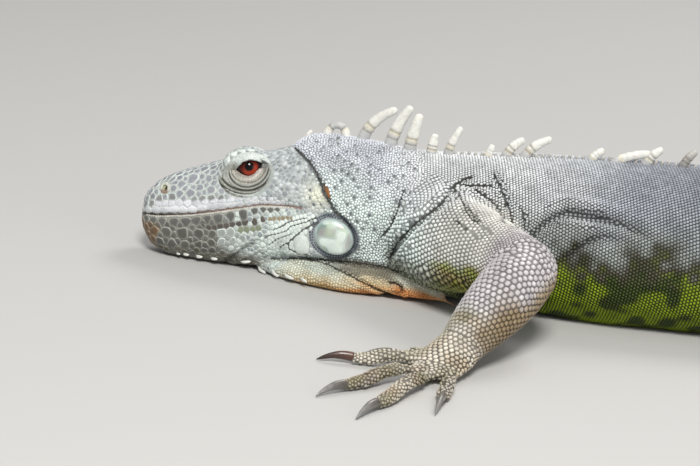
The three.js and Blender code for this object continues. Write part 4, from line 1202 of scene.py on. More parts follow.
# Lines where the scales part, so that a thin dark gap shows: the mouth, the crease behind the head and
# the fine creases that run from the corner of the mouth to the shield.
partings = {
    "mouth": {"line": [(0.5, 17.5)] + mouthLine[1:], "half": 0.3},
    "crease": {"line": creases["behindHead"]["line"][:5], "half": 0.55},
    "creaseLow": {"line": [(87.1, 33.3), (91.7, 29.7)], "half": 0.4},
    "jowlTop": {"line": [(80.8, 27.3), (77.3, 24.9), (73.7, 23.1), (70.1, 21.5), (68.4, 19.1), (64.8, 17.2),
                         (61.1, 15.9), (59.3, 14.9)], "half": 0.14},
    "jowlFork": {"line": [(77.1, 26.4), (73.5, 25.2), (71.3, 24.1), (68.4, 23.0), (64.9, 20.2), (62.7, 18.7)],
                 "half": 0.12},
    "jowlMiddle": {"line": [(71.2, 18.3), (66.8, 15.9), (64.0, 14.2), (62.2, 12.3), (61.2, 11.4)],
                   "half": 0.12},
    "jowlLow": {"line": [(69.0, 13.3), (66.5, 11.3), (66.3, 10.0)], "half": 0.12},
    "aroundSmall": {"line": [(82.6, 25.2), (80.1, 24.1), (75.9, 20.9), (71.8, 16.4), (69.9, 13.8),
                             (70.4, 11.0), (74.3, 9.9), (78.5, 10.0)], "half": 0.2},
    "throatSplit": {"line": creases["throatSplit"]["line"], "half": 0.18},
    "throatTop": {"line": creases["throatTop"]["line"][1:], "half": 0.15},
    "throatCurl": {"line": creases["throatCurl"]["line"][:4], "half": 0.4},
    "arm": {"line": creases["armFold"]["line"][1:], "half": 0.22},
    "neck": {"line": creases["neckFold"]["line"][1:5], "half": 0.1},
}
for number, (line, _) in enumerate(armFolds):
    partings[f"armFine{number}"] = {"line": line, "half": 0.14}
faceLines = ("jowlTop", "jowlFork", "jowlMiddle", "jowlLow", "aroundSmall")


# Small dark seeds in rows along every parting, round the eyelids and the nostril, and round the shield.
def partingSeeds(side):
    lines = [(alongLine(one["line"], 0.8), one["half"]) for one in partings.values()]
    lines.append((roundPlaces(lids["centre"], lambda turn: roundTable(lids["outer"], turn), 0.9), 0.25))
    lines.append((roundPlaces(nostril["centre"], nostril["outer"], 0.8), 0.25))
    lines.append((aroundShield(0.15, 0.9), 0.3))
    lines.append((aroundShield(2.7, 1.0), 0.25))
    rows = np.vstack([np.column_stack([line, np.full(len(line), half)]) for line, half in lines])
    rows = rows[lidShare(rows[:, :2]) > 0.98]
    return seedsOnHead(rows, side, (tones["umber"], tones["umber"]), "parting", 0.0)


# Scales in even rows along both edges of each crease of the jowl.
def flankRows(side):
    made = []
    for name in faceLines:
        one = partings[name]
        line = alongLine(one["line"], 1.75)
        ahead = unit(np.gradient(line, axis=0))
        across = np.stack([-ahead[:, 1], ahead[:, 0]], 1)
        rows = np.vstack([line + way * (0.95 + one["half"]) * across for way in (-1, 1)])
        places = np.column_stack([rows, np.full(len(rows), 0.92)])
        made.append(seedsOnHead(places, side, (tones["jowlPale"], tones["rim"]), "lip", 0.46))
    return joinSeeds(made)


# The seeds that have a set place on one side of the head, and the dark cones of the neck.
def headSeeds(side):
    made = [partingSeeds(side), flankRows(side)]
    for name, group in headPlates.items():
        pair = [tones[one] for one in group["tones"]]
        made.append(seedsOnHead(group["places"], side, pair, "lip" if name in lipRows else "plate", 0.4))
    rings = np.vstack([np.column_stack([line, np.full(len(line), 0.6)]) for line in
                       (aroundShield(0.9, 1.2), aroundShield(1.95, 1.2))])
    made.append(seedsOnHead(rings, side, (tones["ring"], tones["ring"] * 0.5), "ring", 0.5))
    # dark conical scales scattered over the side of the neck, each between paler ones
    spread = np.random.default_rng(31 + side)
    count = 150
    at = spread.uniform(75, 124, count)
    size = curveThrough(body["sections"], at)
    rows = np.column_stack([at, size[:, 1] + (size[:, 0] - size[:, 1]) * spread.uniform(-0.1, 0.93, count),
                            spread.uniform(0.55, 1.0, count) ** 2 * 1.6])
    cones = seedsOnHead(rows, side, (tones["tubercle"], tones["rim"]), "tubercle", 0.8)
    room = {**cones, "radius": cones["radius"] + 1.4, "index": np.arange(len(cones["place"]))}
    kept = thinSeeds(room, np.arange(len(cones["place"])) * 1.0)["index"]
    made.append(keepSeeds(cones, kept))
    return joinSeeds(made)


# Scales packed over the head one after another wherever there is still room, larger on the snout and the
# jaw and smaller toward the temple and the cheek.
packing = {"candidates": 16000, "closeness": 0.8,
           # height: how far back the face reaches there
           "until": [(-8, 62), (2, 66), (9, 76), (30, 83), (33.3, 86.5), (37, 84.2), (41, 81), (46, 78.4),
                     (51, 74.7), (54, 70.4), (57, 66)]}


# True on the face, where the scales are packed one by one.
def onFace(at, height):
    return at < lineHeight(packing["until"], height)


# The usual radius of the scales at a place of the face.
def headGrain(at, height):
    lip = lineHeight(mouthLine, at)
    above = np.interp(at, [0, 30, 44, 60, 84], [2.0, 1.9, 1.25, 1.2, 1.0])
    below = np.interp(at, [0, 30, 46, 60, 70], [2.1, 1.9, 1.6, 1.15, 0.95])
    below = np.where(height < 4, np.minimum(below, 1.5), below)
    return np.where(height > lip, above, below)


def packHead(fixed):
    spread = np.random.default_rng(11)
    at, side, height = bodyPlace(skinPoints)
    free = np.flatnonzero(onFace(at, height) & ~isCovered(skinPoints))
    chosen = spread.permutation(free)[:packing["candidates"]]
    radii = headGrain(at[chosen], height[chosen]) * spread.uniform(0.75, 1.2, len(chosen))
    places = np.concatenate([fixed["place"], skinPoints[chosen]])
    reach = np.concatenate([fixed["radius"], radii])
    full = len(fixed["place"])
    taken = []
    for index, (place, radius) in enumerate(zip(skinPoints[chosen], radii)):
        gap = np.linalg.norm(places[:full] - place, axis=1)
        if (gap > packing["closeness"] * (reach[:full] + radius)).all():
            places[full], reach[full] = place, radius
            taken.append(index)
            full += 1
    picked = chosen[taken]
    plane = np.stack([at, height], 1)[picked]
    return makeSeeds(skinPoints[picked], plane, np.sign(side[picked]), radii[taken], "head", 0.6,
                     np.full((2, 3), np.nan))


# Middle and border tones of the head's packed scales.
def headTones(points, luck):
    at, side, height = bodyPlace(points)
    lip = lineHeight(mouthLine, at)
    low = smoothStep(-height, -40, -33)
    grey = mix(tones["granuleGrey"], tones["granulePale"], smoothStep(luck + 0.2 * low, 0.56, 0.8))
    centre = mix(tones["plateGrey"], grey, smoothStep(at, 36, 50))
    border = mix(tones["rim"], tones["rimRear"], smoothStep(at, 50, 60))
    jaw = mix(tones["slateGrey"], mix(tones["granuleGrey"], tones["jowlPale"], luck), smoothStep(at, 36, 48))
    jawEdge = mix(tones["jawRim"], tones["jowlPale"], smoothStep(at, 36, 50))
    centre = mix(centre, jaw, smoothStep(lip - height, -0.5, 0.5) * (1 - smoothStep(at, 70, 76)))
    border = mix(border, jawEdge, smoothStep(lip - height, -0.5, 0.5) * (1 - smoothStep(at, 70, 76)))
    # painted shade: the lowest scales of the jaw and their borders darken, as shade under the head
    low = smoothStep(-height, -7, -3) * (1 - smoothStep(at, 52, 66))
    centre, border = mix(centre, tones["underJaw"], low), mix(border, tones["jawRim"] * 0.8, low)
    chin = smoothStep(-at, -11, -6) * smoothStep(-height, -16, -12)
    centre, border = mix(centre, tones["chinTan"], chin), mix(border, tones["chinRim"], chin)
    bulge = np.exp(-(polar(np.stack([at, height], 1), cheekBulge)[0] / 5.5) ** 2) * (np.abs(side) > 10)
    return mix(centre, tones["yellowPale"], 0.9 * bulge), mix(border, tones["yellowPale"], 0.9 * bulge)


seeds = bodyLattice()
bodyCount = len(seeds["place"])
limbSeeds, wideSeeds = [], []  # the wide ones lie low on the upper legs, over the finer ones
for index, leg in enumerate((foreLeg, hindLeg)):
    for side in sides:
        tubes = limbTubes(leg, side)
        tile = np.array([0.5 * index, 0.25 * (side + 1)])
        limbSeeds.append(tubeLattice(tubes["whole"], 58, "upperLeg", (tile, 0.24), 0.0, 0.47))
        wide = tubeLattice(tubes["whole"], 34, "upperLeg", (tile, 0.24), 0.1, 0.47)
        rise = wide["place"][:, 2] + 9 * np.abs(noiseAt(wide["place"], 8, 4) - 0.5)
        wide = keepSeeds(wide, rise < (24 if leg is foreLeg else 20))
        wide["rank"] = np.full(len(wide["place"]), 0.9)
        wideSeeds.append(wide)
        limbSeeds.append(tubeLattice(tubes["whole"], 30, "lowerLeg", (tile + [0.25, 0], 0.24), 0.47, 1.0))
        limbSeeds.append(tubeLattice(tubes["palm"], 26, "foot", (tile + [0, 0.25], 0.12)))
        for number, rows in enumerate(tubes["digits"]):
            corner = tile + [0.05 * number, 0.38]
            limbSeeds.append(tubeLattice(rows, 10, "digit", (corner, 0.05), 0.16, 0.99))
for index, rows in enumerate(throatFolds):
    limbSeeds.append(tubeLattice(rows, 26, "throat", (np.array([0.3 + 0.1 * index, 0.9]), 0.08), 0.02, 0.99))
limbSeeds = joinSeeds(limbSeeds)
seeds["rank"] = np.full(bodyCount, 2.0)
limbSeeds["rank"] = np.full(len(limbSeeds["place"]), 1.0)
seeds = joinSeeds([joinSeeds(wideSeeds), limbSeeds, seeds])
seedAt, _, seedHeight = bodyPlace(seeds["place"])
seeds = keepSeeds(seeds, ~onFace(seedAt, seedHeight) | ~np.isin(seeds["zone"], ["head", "neck"]))
seeds["zone"] = np.where(seeds["zone"] == "head", "neck", seeds["zone"])
onNeck = seeds["zone"] == "neck"
looseness = np.where(onNeck, 0.34, 0.05)[:, None]
seeds["place"] += random.standard_normal((len(onNeck), 3)) * seeds["radius"][:, None] * looseness
for key in ("centre", "border"):
    seeds[key] = np.full((len(onNeck), 3), np.nan)


# How far a place lies from the middle of the ear, over the reach of its leaning oval there.
def earReach(plane):
    tilt = math.radians(earDisc["tilt"])
    at, up = (plane - (earDisc["at"], earDisc["up"])).T
    across = at * math.cos(tilt) + up * math.sin(tilt)
    along = up * math.cos(tilt) - at * math.sin(tilt)
    return np.hypot(across / earDisc["size"][0], along / earDisc["size"][1])


# True where a finer piece takes the scales' place: the eyelids, the nostril, the shields and the ears.
def isCovered(points):
    at, side, height = bodyPlace(points)
    plane = np.stack([at, height], 1)
    onSide = np.abs(side) > 5
    covered = onSide & (at < 66) & (lidShare(plane) < 1.0)
    covered |= onSide & (at < 20) & (polar(plane, nostril["centre"])[0] < nostril["outer"])
    inShield = np.hypot((at - shield["at"]) / shield["size"][0], (height - shield["up"]) / shield["size"][2])
    covered |= (np.abs(side) > 14) & (inShield < 1.0)
    return covered | (np.abs(side) > 18) & (earReach(plane) < 1.0)


fixed = snapSeeds(joinSeeds([headSeeds(-1), headSeeds(1)]))
fixed = keepSeeds(fixed, ~isCovered(fixed["place"]) | (fixed["zone"] == "parting"))
fixed = thinSeeds(fixed, fixed["rank"], 0.5)
packed = packHead(fixed)
fixed = joinSeeds([fixed, snapSeeds(packed)])
print("scales:", len(fixed["place"]), "placed on the head and neck")
seeds = snapSeeds(seeds)
held, gap = nearestSeeds(seeds["place"], fixed["place"], 8)
clear = (gap > 0.84 * fixed["radius"][held] + 0.72 * seeds["radius"][:, None]).all(1)
seeds = keepSeeds(seeds, clear & ~isCovered(seeds["place"]))
seeds = joinSeeds([fixed, thinSeeds(seeds, seeds["rank"])])
laid = len(seeds["place"])
seeds = fillSeeds(seeds)
seeds = keepSeeds(seeds, ~isCovered(seeds["place"]) | (seeds["zone"] == "parting"))
print("scales:", bodyCount, "on the body and", len(limbSeeds["place"]), "on the legs, of which", laid,
      "are laid;", len(seeds["place"]) - laid, "more fill gaps")


# How a scale of each kind is built: corners, rings as (share of its reach, height over its radius),
# height of its middle, how much its rear tilts up, its keel, the gap to its neighbours, and between which
# shares its border tone sets in. Those with a limit are wide and follow the hide.
scaleKinds = {
    "granule": {"sides": 6, "rings": [(1, -0.16), (0.66, 0.36)], "crown": 0.5, "tilt": 0.1, "keel": 0.0,
                "gap": 0.04, "borderFrom": (0.62, 1.2)},
    "keeled": {"sides": 6, "rings": [(1, -0.14), (0.72, 0.3)], "crown": 0.5, "tilt": 0.3, "keel": 0.16,
               "gap": 0.09, "borderFrom": (0.6, 1.05)},
    "bead": {"sides": 8, "rings": [(1, -0.14), (0.88, 0.26), (0.52, 0.44)], "crown": 0.5, "tilt": 0.1,
             "keel": 0.0, "gap": 0.06},
    "headScale": {"sides": 9, "rings": [(1, -0.2), (0.9, 0.16), (0.66, 0.26)], "crown": 0.3, "tilt": 0.0,
                  "keel": 0.0, "gap": 0.03, "borderFrom": (0.64, 0.98), "limit": 1.6},
    "plate": {"sides": 18, "rings": [(1, -0.12), (0.96, 0.1), (0.86, 0.17), (0.72, 0.17), (0.4, 0.19)],
              "crown": 0.19, "tilt": 0.0, "keel": 0.0, "gap": 0.02, "borderFrom": (0.68, 0.96), "limit": 1.6},
    "lipPlate": {"sides": 18, "rings": [(1, -0.12), (0.95, 0.06), (0.82, 0.11), (0.4, 0.14)],
                 "crown": 0.15, "tilt": 0.0, "keel": 0.0, "gap": 0.012, "borderFrom": (0.7, 1.0),
                 "limit": 1.5},
    "tubercle": {"sides": 8, "rings": [(1, -0.14), (0.86, 0.2), (0.46, 0.85)], "crown": 1.15, "tilt": 0.22,
                 "keel": 0.0, "gap": 0.05},
}
scaleKinds["barred"] = {**scaleKinds["keeled"], "squeeze": 0.2}  # narrower along the body
# the kind of each zone, and how much its scales stand up
zoneKinds = {
    "head": ("headScale", 1.0), "lip": ("lipPlate", 1.0), "plate": ("plate", 1.0), "ring": ("granule", 1.0),
    "tubercle": ("tubercle", 1.0), "throat": ("granule", 1.0), "neck": ("granule", 1.0),
    "flank": ("barred", 1.1), "trunk": ("keeled", 1.0), "tail": ("keeled", 1.2), "upperLeg": ("keeled", 1.0),
    "lowerLeg": ("bead", 1.0), "foot": ("granule", 1.0), "digit": ("keeled", 0.8),
}


# How far each scale reaches in each direction: to the line between it and a neighbour, which lies
# nearer to the smaller of the two, and never beyond a share of its own radius.
def cellReach(part, found, kind):
    across = np.cross(part["normal"], part["lie"])
    gap = seeds["place"][found] - part["place"][:, None]
    ahead = (gap * part["lie"][:, None]).sum(-1)
    beside = (gap * across[:, None]).sum(-1)
    flat = np.sqrt(ahead**2 + beside**2) + 1e-6
    share = part["radius"][:, None] / (part["radius"][:, None] + seeds["radius"][found])
    facing = (seeds["normal"][found] * part["normal"][:, None]).sum(-1) > -0.2
    turns = 2 * np.pi * np.arange(kind["sides"]) / kind["sides"]
    reach = np.empty((len(found), kind["sides"]))
    for column, turn in enumerate(turns):
        cosine = (ahead * math.cos(turn) + beside * math.sin(turn)) / flat
        edge = np.where((cosine > 0.1) & facing, share * flat / np.maximum(cosine, 0.1), 99)
        reach[:, column] = edge.min(1)
    limit = kind.get("limit", 1.35) * part["radius"][:, None]
    squeeze = 1 - kind.get("squeeze", 0) * np.abs(np.cos(turns))
    return np.minimum(reach, limit) * (1 - kind["gap"]) * squeeze, turns, across


# Wide scales follow the hide: each point keeps its height over the seed's flat, measured from the skin.
def followSkin(vertices, part):
    rise = ((vertices - part["place"][:, None]) * part["normal"][:, None]).sum(-1)
    flat = vertices - rise[..., None] * part["normal"][:, None]
    near = np.array([skinTree.find_nearest(place)[0] for place in flat.reshape(-1, 3).tolist()])
    return near.reshape(vertices.shape) + rise[..., None] * part["normal"][:, None]


patchReach = 0.0014  # from the middle of a scale's patch of the unwrap to its edge


# The scales of one kind as arrays: rings of corners stepped in from the edge, each at its own height,
# raised towards the rear and along the keel, with a middle point above and a flat underside.
def scaleMesh(part, found, kind, lift):
    reach, turns, across = cellReach(part, found, kind)
    count, corners = reach.shape
    cosine, sine = np.cos(turns), np.sin(turns)
    rings = []
    heights = []
    for share, height in kind["rings"] + [(0, kind["crown"])]:
        x = reach * share * cosine
        y = reach * share * sine
        rise = part["radius"][:, None] * (height * lift + 0 * x)
        if height > 0:
            rise = rise + kind["tilt"] * x * lift
            rise = rise + kind["keel"] * part["radius"][:, None] * lift * np.abs(cosine) ** 3
        if share == 0:
            x, y, rise = x[:, :1], y[:, :1], rise[:, :1]
        rings.append(part["place"][:, None] + x[..., None] * part["lie"][:, None]
                     + y[..., None] * across[:, None] + rise[..., None] * part["normal"][:, None])
        heights.append(np.full(x.shape, share))
    vertices = np.concatenate(rings, 1)
    if "limit" in kind:
        vertices = followSkin(vertices, part)
    vertices[..., 2] = np.maximum(vertices[..., 2], 0.02)  # scales lie flat where they touch the floor
    rim = np.concatenate(heights, 1)
    layers = len(kind["rings"])
    j = np.arange(corners)
    k = (j + 1) % corners
    faces = []
    for layer in range(layers - 1):
        low, high = layer * corners, (layer + 1) * corners
        faces += [np.stack([low + j, low + k, high + k], 1), np.stack([low + j, high + k, high + j], 1)]
    top = (layers - 1) * corners
    faces.append(np.stack([top + j, top + k, np.full(corners, layers * corners)], 1))
    faces.append(np.stack([np.zeros(corners - 2, int), j[2:], j[1:-1]], 1))
    faces = np.vstack(faces)
    size = vertices.shape[1]
    allFaces = (faces[None] + (np.arange(count) * size)[:, None, None]).reshape(-1, 3)
    flatPlace = np.concatenate([np.stack([share * cosine, share * sine], 1) if share > 0 else [[0, 0]]
                                for share, _ in kind["rings"] + [(0, 0)]])
    patch = part["unwrap"][:, None] + patchReach * flatPlace[None]
    return vertices.reshape(-1, 3), allFaces, rim.ravel(), patch.reshape(-1, 2), size


# A piece with one tone per vertex, its material, and the named nodes that it replaces.
def addPiece(name, shell, colour, material, nodes=()):
    piece = makeObject(name, *shell)
    hide = piece.data.attributes.new("hide", "FLOAT_COLOR", "POINT")
    hide.data.foreach_set("color", np.column_stack([colour, np.ones(len(colour))]).astype(np.float32).ravel())
    piece.data.materials.append(material)
    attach(piece, "root")
    if nodes:
        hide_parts(*nodes)
    print("piece:", name, len(piece.data.vertices), "points")
    return piece.data


seedAt, _, seedHeight = bodyPlace(seeds["place"])
size = curveThrough(body["sections"], seedAt)
lowSide = (seedHeight - size[:, 2]) / (size[:, 0] - size[:, 2]) < 0.42
seeds["zone"] = np.where((seeds["zone"] == "trunk") & lowSide & (seedAt > 126) & (seedAt < 330), "flank",
                         seeds["zone"])
neighbours = 14
found = nearestSeeds(seeds["place"], seeds["place"], neighbours + 1)[0][:, 1:]  # the first is itself
seedColours = hideColour(seeds["place"])
luck = random.random((len(seedColours), 2))
plain = np.isnan(seeds["centre"][:, :1])
onHeadZone = (seeds["zone"] == "head")[:, None]
headCentre, headBorder = headTones(seeds["place"], luck[:, 1])
tiny = smoothStep(-seeds["radius"], -1.7, -1.0) * smoothStep(-seedAt, -46, -36)
headCentre = mix(headCentre, headBorder, 0.5 * tiny)
centre = np.where(onHeadZone, headCentre * (0.88 + 0.24 * luck[:, :1]),
                  seedColours * (0.86 + 0.3 * luck[:, :1]))
# painted shade between the scales: each border tone is the hide colour darkened, most on the trunk and tail,
# and on the legs more toward their underside
edgeShade = np.interp(seedAt, [90, 126, 150], [0.7, 0.6, 0.36])[:, None]
edgeShade = np.where(seeds["zone"][:, None] == "throat", 0.72, edgeShade)
legEdge = 0.6 - 0.22 * smoothStep(limbShare(seeds["place"])["below"], 0.0, 0.6)
edgeShade = np.where(np.isin(seeds["zone"], ["upperLeg", "lowerLeg"])[:, None], legEdge[:, None], edgeShade)
border = np.where(onHeadZone, headBorder, seedColours * edgeShade)
seeds["centre"] = np.where(plain, centre, seeds["centre"] * (0.88 + 0.24 * luck[:, :1]))
seeds["border"] = np.where(plain, border, seeds["border"])
# painted shade: the scales darken inside the creases as well
shade = creaseShade(seeds["place"])[:, None]
seeds["centre"] *= shade
seeds["border"] *= shade
print("scales: neighbours found")


# One piece of scales from chosen seeds; its patches spread over the whole unwrap of that part.
def makeScales(name, chosen, kindName, lift, material, slotName):
    part = keepSeeds(seeds, chosen)
    unwrap = part["unwrap"]
    low, high = unwrap.min(0), unwrap.max(0)
    part["unwrap"] = 0.005 + 0.99 * (unwrap - low) / np.maximum(high - low, 1e-6)
    vertices, faces, rim, patches, size = scaleMesh(part, found[chosen], scaleKinds[kindName], lift)
    edge = smoothStep(rim, *scaleKinds[kindName].get("borderFrom", (0.4, 1.1)))
    colour = mix(np.repeat(part["centre"], size, 0), np.repeat(part["border"], size, 0), edge)
    mesh = addPiece(name, (vertices, [faces]), colour, material)
    fleck = mesh.attributes.new("fleck", "FLOAT", "POINT")  # a number for each scale, from 0 to 1
    fleck.data.foreach_set("value", np.repeat(random.random(len(part["place"])), size).astype(np.float32))
    corners = np.empty(len(mesh.loops), np.int32)
    mesh.loops.foreach_get("vertex_index", corners)
    layer = mesh.uv_layers.new(name="OFBake")
    layer.data.foreach_set("uv", np.clip(patches[corners], 0.001, 0.999).astype(np.float32).ravel())


# A material with its tree and its shader.
def newMaterial(name, roughness, specular=0.5):
    material = bpy.data.materials.new(name)
    material.use_nodes = True
    shader = material.node_tree.nodes["Principled BSDF"]
    shader.inputs["Roughness"].default_value = roughness
    shader.inputs["Specular IOR Level"].default_value = specular
    return material, material.node_tree, shader


# A node with values for its inputs or its own settings.
def addNode(tree, kind, **values):
    node = tree.nodes.new(kind)
    for key, value in values.items():
        if key in node.inputs:
            node.inputs[key].default_value = value
        else:
            setattr(node, key, value)
    return node


# One value's range laid over another.
def addRange(tree, value, fromLow, fromHigh, toLow, toHigh):
    node = addNode(tree, "ShaderNodeMapRange", **{"From Min": fromLow, "From Max": fromHigh,
                                                  "To Min": toLow, "To Max": toHigh})
    tree.links.new(value, node.inputs["Value"])
    return node.outputs["Result"]


# One value times another.
def addProduct(tree, first, second):
    node = addNode(tree, "ShaderNodeMath", operation="MULTIPLY")
    tree.links.new(first, node.inputs[0])
    tree.links.new(second, node.inputs[1])
    return node.outputs["Value"]


# A bump whose height is a value.
def addBump(tree, height, strength, distance):
    node = addNode(tree, "ShaderNodeBump", Strength=strength, Distance=distance)
    tree.links.new(height, node.inputs["Height"])
    return node


# A texture read from Object coordinates.
def addTexture(tree, kind, **values):
    place = addNode(tree, "ShaderNodeTexCoord")
    node = addNode(tree, kind, **values)
    tree.links.new(place.outputs["Object"], node.inputs["Vector"])
    return node


# The marking colour times a shade, as the colour of the surface.
def shadeColour(tree, shader, strength):
    colour = addNode(tree, "ShaderNodeAttribute", attribute_name="hide")
    shade = addNode(tree, "ShaderNodeVectorMath", operation="SCALE")
    tree.links.new(colour.outputs["Color"], shade.inputs[0])
    tree.links.new(strength, shade.inputs["Scale"])
    tree.links.new(shade.outputs["Vector"], shader.inputs["Base Color"])


# Hide: the marking colour, darkened in small grains and blotches, with a fine bump; the roughness
# follows the same grains. Hide with granules is parted into small domes as well, its colour darkened
# toward each granule's edge as painted shade between them.
def hideMaterial(name, settings):
    material, tree, shader = newMaterial(name, settings["roughness"], settings["specular"])
    grain = addTexture(tree, "ShaderNodeTexNoise", Scale=settings["grain"], Detail=4.0, Roughness=0.6)
    blotch = addTexture(tree, "ShaderNodeTexNoise", Scale=settings["blotch"], Detail=3.0)
    grain, blotch = grain.outputs["Fac"], blotch.outputs["Fac"]
    strength = addProduct(tree, addRange(tree, grain, 0.3, 0.7, settings["dark"], settings["light"]),
                          addRange(tree, blotch, 0.3, 0.7, 0.9, 1.08))
    rough = settings["roughness"]
    tree.links.new(addRange(tree, grain, 0, 1, rough - 0.08, rough + 0.1), shader.inputs["Roughness"])
    bump = addBump(tree, grain, settings["bump"], 0.0002)
    if "granules" in settings:
        cells = addTexture(tree, "ShaderNodeTexVoronoi", feature="DISTANCE_TO_EDGE",
                           Scale=settings["granules"])
        # painted shade: darker toward each granule's edge
        edges = addRange(tree, cells.outputs["Distance"], 0, 0.14, 0.62, 1)
        strength = addProduct(tree, strength, edges)
        tree.links.new(addBump(tree, edges, 0.8, 0.00025).outputs["Normal"], bump.inputs["Normal"])
    shadeColour(tree, shader, strength)
    tree.links.new(bump.outputs["Normal"], shader.inputs["Normal"])
    return material


hides = {
    "skin": {"roughness": 0.7, "specular": 0.3, "grain": 900, "blotch": 90, "dark": 0.75, "light": 1.15,
             "bump": 0.5},
    "dry": {"roughness": 0.52, "specular": 0.4, "grain": 1400, "blotch": 120, "dark": 0.82, "light": 1.12,
            "bump": 0.35},
    "glossy": {"roughness": 0.36, "specular": 0.5, "grain": 1100, "blotch": 140, "dark": 0.85, "light": 1.1,
               "bump": 0.25},
}
hideMaterials = {name: hideMaterial(f"hide_{name}", settings) for name, settings in hides.items()}

# painted shade: between the scales the skin shows the same markings, darker, as shade between them; darkest
# on the trunk, darker toward the legs' underside and in the creases
skinAt, skinSide, skinHeight = bodyPlace(skinPoints)
skinPlane = np.stack([skinAt, skinHeight], 1)
mouthGap, mouthAlong = lineDistance(skinPlane, mouthLine)
faceSkin = headTones(skinPoints, np.full(len(skinPoints), 0.8))[1] * 0.72
gapShade = np.interp(skinAt, [60, 120, 150, 400], [0.42, 0.34, 0.12, 0.18])[:, None]
onThroat = np.maximum(*(foldShare(skinPoints, rows)[0] for rows in throatFolds))
gapShade = np.maximum(gapShade, 0.6 * onThroat[:, None])
legShare = limbShare(skinPoints)
legShade = 0.36 - 0.24 * smoothStep(legShare["below"], 0.0, 0.6)
gapShade = np.maximum(gapShade, (legShare["leg"] * legShade)[:, None])
between = mix(hideColour(skinPoints) * gapShade, faceSkin, onFace(skinAt, skinHeight))
between *= creaseShade(skinPoints)[:, None]
ownSide = (np.abs(skinSide) > 6) & (np.abs(skinSide) < creaseReach)
# painted shade: the skin along every parting but the mouth is painted near black, as shade in the gap
for name, one in partings.items():
    if name != "mouth":
        gap = lineDistance(skinPlane, one["line"])[0]
        between = mix(between, tones["crevice"], 0.9 * np.exp(-(gap / 0.7) ** 4) * ownSide)
lipLine = mix(tone(48, 34, 26), tone(126, 104, 96), smoothStep(mouthAlong, 0.15, 0.6))
between = mix(lipLine, between, np.maximum(smoothStep(mouthGap, 0.5, 1.1), skinAt > 76))
fleshNodes = [name for name in nodeNames if not name.startswith(("claw_", "eye_", "ear_", "jowl_shield_"))]
addPiece("skin", (skinPoints, skinFaces), between, hideMaterials["skin"], fleshNodes)

# where each zone's pieces part; the last one takes all the rest
pieceLimits = {"neck": (-1, 90, 9999), "trunk": (126, 160, 196, 240, 300, 9999), "tail": (410, 620, 9999)}
midBody = 230  # between the forelegs and the hind legs
zones = seeds["zone"]
dry = hideMaterials["dry"]
for zone, limits in pieceLimits.items():
    for index, (low, high) in enumerate(zip(limits[:-1], limits[1:])):
        chosen = np.flatnonzero((zones == zone) & (seedAt >= low) & (seedAt < high))
        makeScales(f"scales_{zone}_{index + 1}", chosen, *zoneKinds[zone], dry, "body_skin")
for name, zone in (("head", "head"), ("flank", "flank"), ("throat", "throat"), ("lips", "lip"),
                   ("plates", "plate"), ("ring", "ring"), ("tubercles", "tubercle")):
    slotName = "throat_skin" if name == "throat" else "body_skin"
    makeScales(f"scales_{name}", np.flatnonzero(zones == zone), *zoneKinds[zone], dry, slotName)
for zone in ("upperLeg", "lowerLeg", "foot", "digit"):
    material = hideMaterials["glossy"] if zone == "lowerLeg" else dry
    for ending, onHalf in (("fore", seedAt <= midBody), ("hind", seedAt > midBody)):
        makeScales(f"scales_{zone}_{ending}", np.flatnonzero((zones == zone) & onHalf), *zoneKinds[zone],
                   material, "limb_skin")

# Spines of the crest, as (distance from the snout, height, half length of the foot, lean).
crest = [
    (71.6, 2.2, 1.5, 2.4), (97.5, 15, 3, 15), (110.5, 18.5, 3.2, 8), (119.5, 16.5, 3.2, 3),
    (129.5, 8.5, 2.7, 1), (137, 13, 2.3, 5), (155.5, 5, 2.2, 2), (163.5, 8.5, 2.6, 8), (172, 9.5, 2.7, 12),
    (203, 4.4, 2.4, 6), (214, 4.6, 2.6, 17), (229, 7, 2.6, 7), (246, 7.5, 2.4, 6), (262, 6, 2.4, 7),
    (279, 7, 2.3, 5), (297, 5.5, 2.3, 6), (316, 5, 2.2, 5), (350, 4.5, 2.1, 4), (380, 4, 2, 4)]
# small teeth along the ridge between the spines, and lower ones onto the tail
ridge = [(at, 1.1 + 0.35 * (index % 3), 1.0, 1.2) for index, at in enumerate(np.arange(140, 420, 3.1))]
ridge += [(at, 2.6 - 0.0045 * (at - 420), 1.4, 2.2) for at in np.arange(420, 700, 7.5)]
spine = {"root": 3.0, "inset": 0.2, "rows": 44, "columns": 24, "sway": 0.9, "bend": 0.3}
tooth = {"rows": 7, "columns": 8}
archedSpine = {"from": 81.1, "to": 89.9, "tall": 4.3, "thick": 1.95}


# A horn along a line of points: an oval ring round each, of one half width along the body and another
# across it.
def hornShell(line, along, across, upright=None, columns=24):
    line = np.asarray(line, float)
    tangent = unit(np.gradient(line, axis=0))
    sideways = np.broadcast_to([0.0, 1.0, 0.0] if upright is None else upright, tangent.shape)
    first = unit(np.cross(sideways, tangent))
    second = unit(np.cross(tangent, first))
    turn = fullTurn(columns)[:, None]
    rings = (line[:, None] + first[:, None] * (along[:, None, None] * np.cos(turn))
             + second[:, None] * (across[:, None, None] * np.sin(turn)))
    return tubeShell(rings)


# The shares of a spine's length at which it is jointed.
def spineJoints(reach):
    return np.array([spine["root"] + 0.1 * reach, spine["root"] + 0.24 * reach]) / reach


# Profile of a crest spine: a short swollen foot, a second short joint, and a long upper joint that
# tapers little and ends bluntly, with narrow waists between the joints.
def spineProfile(share, reach):
    joints = spineJoints(reach)
    taper = np.interp(share, [0, joints[0], joints[1], 0.88, 1], [0.98, 1.0, 0.94, 0.72, 0.6])
    waist = 1 - sum(0.13 * np.exp(-((share - joint) * reach / 0.42) ** 2) for joint in joints)
    swell = 1 + 0.07 * np.exp(-((share - joints[1]) * reach / 1.3 - 1) ** 2)
    end = np.sqrt(np.clip(1 - ((share - 0.93) / 0.072) ** 2 * (share > 0.93), 0.02, 1))
    return taper * waist * swell * end * (1 + 0.02 * np.sin(share * reach * 5))


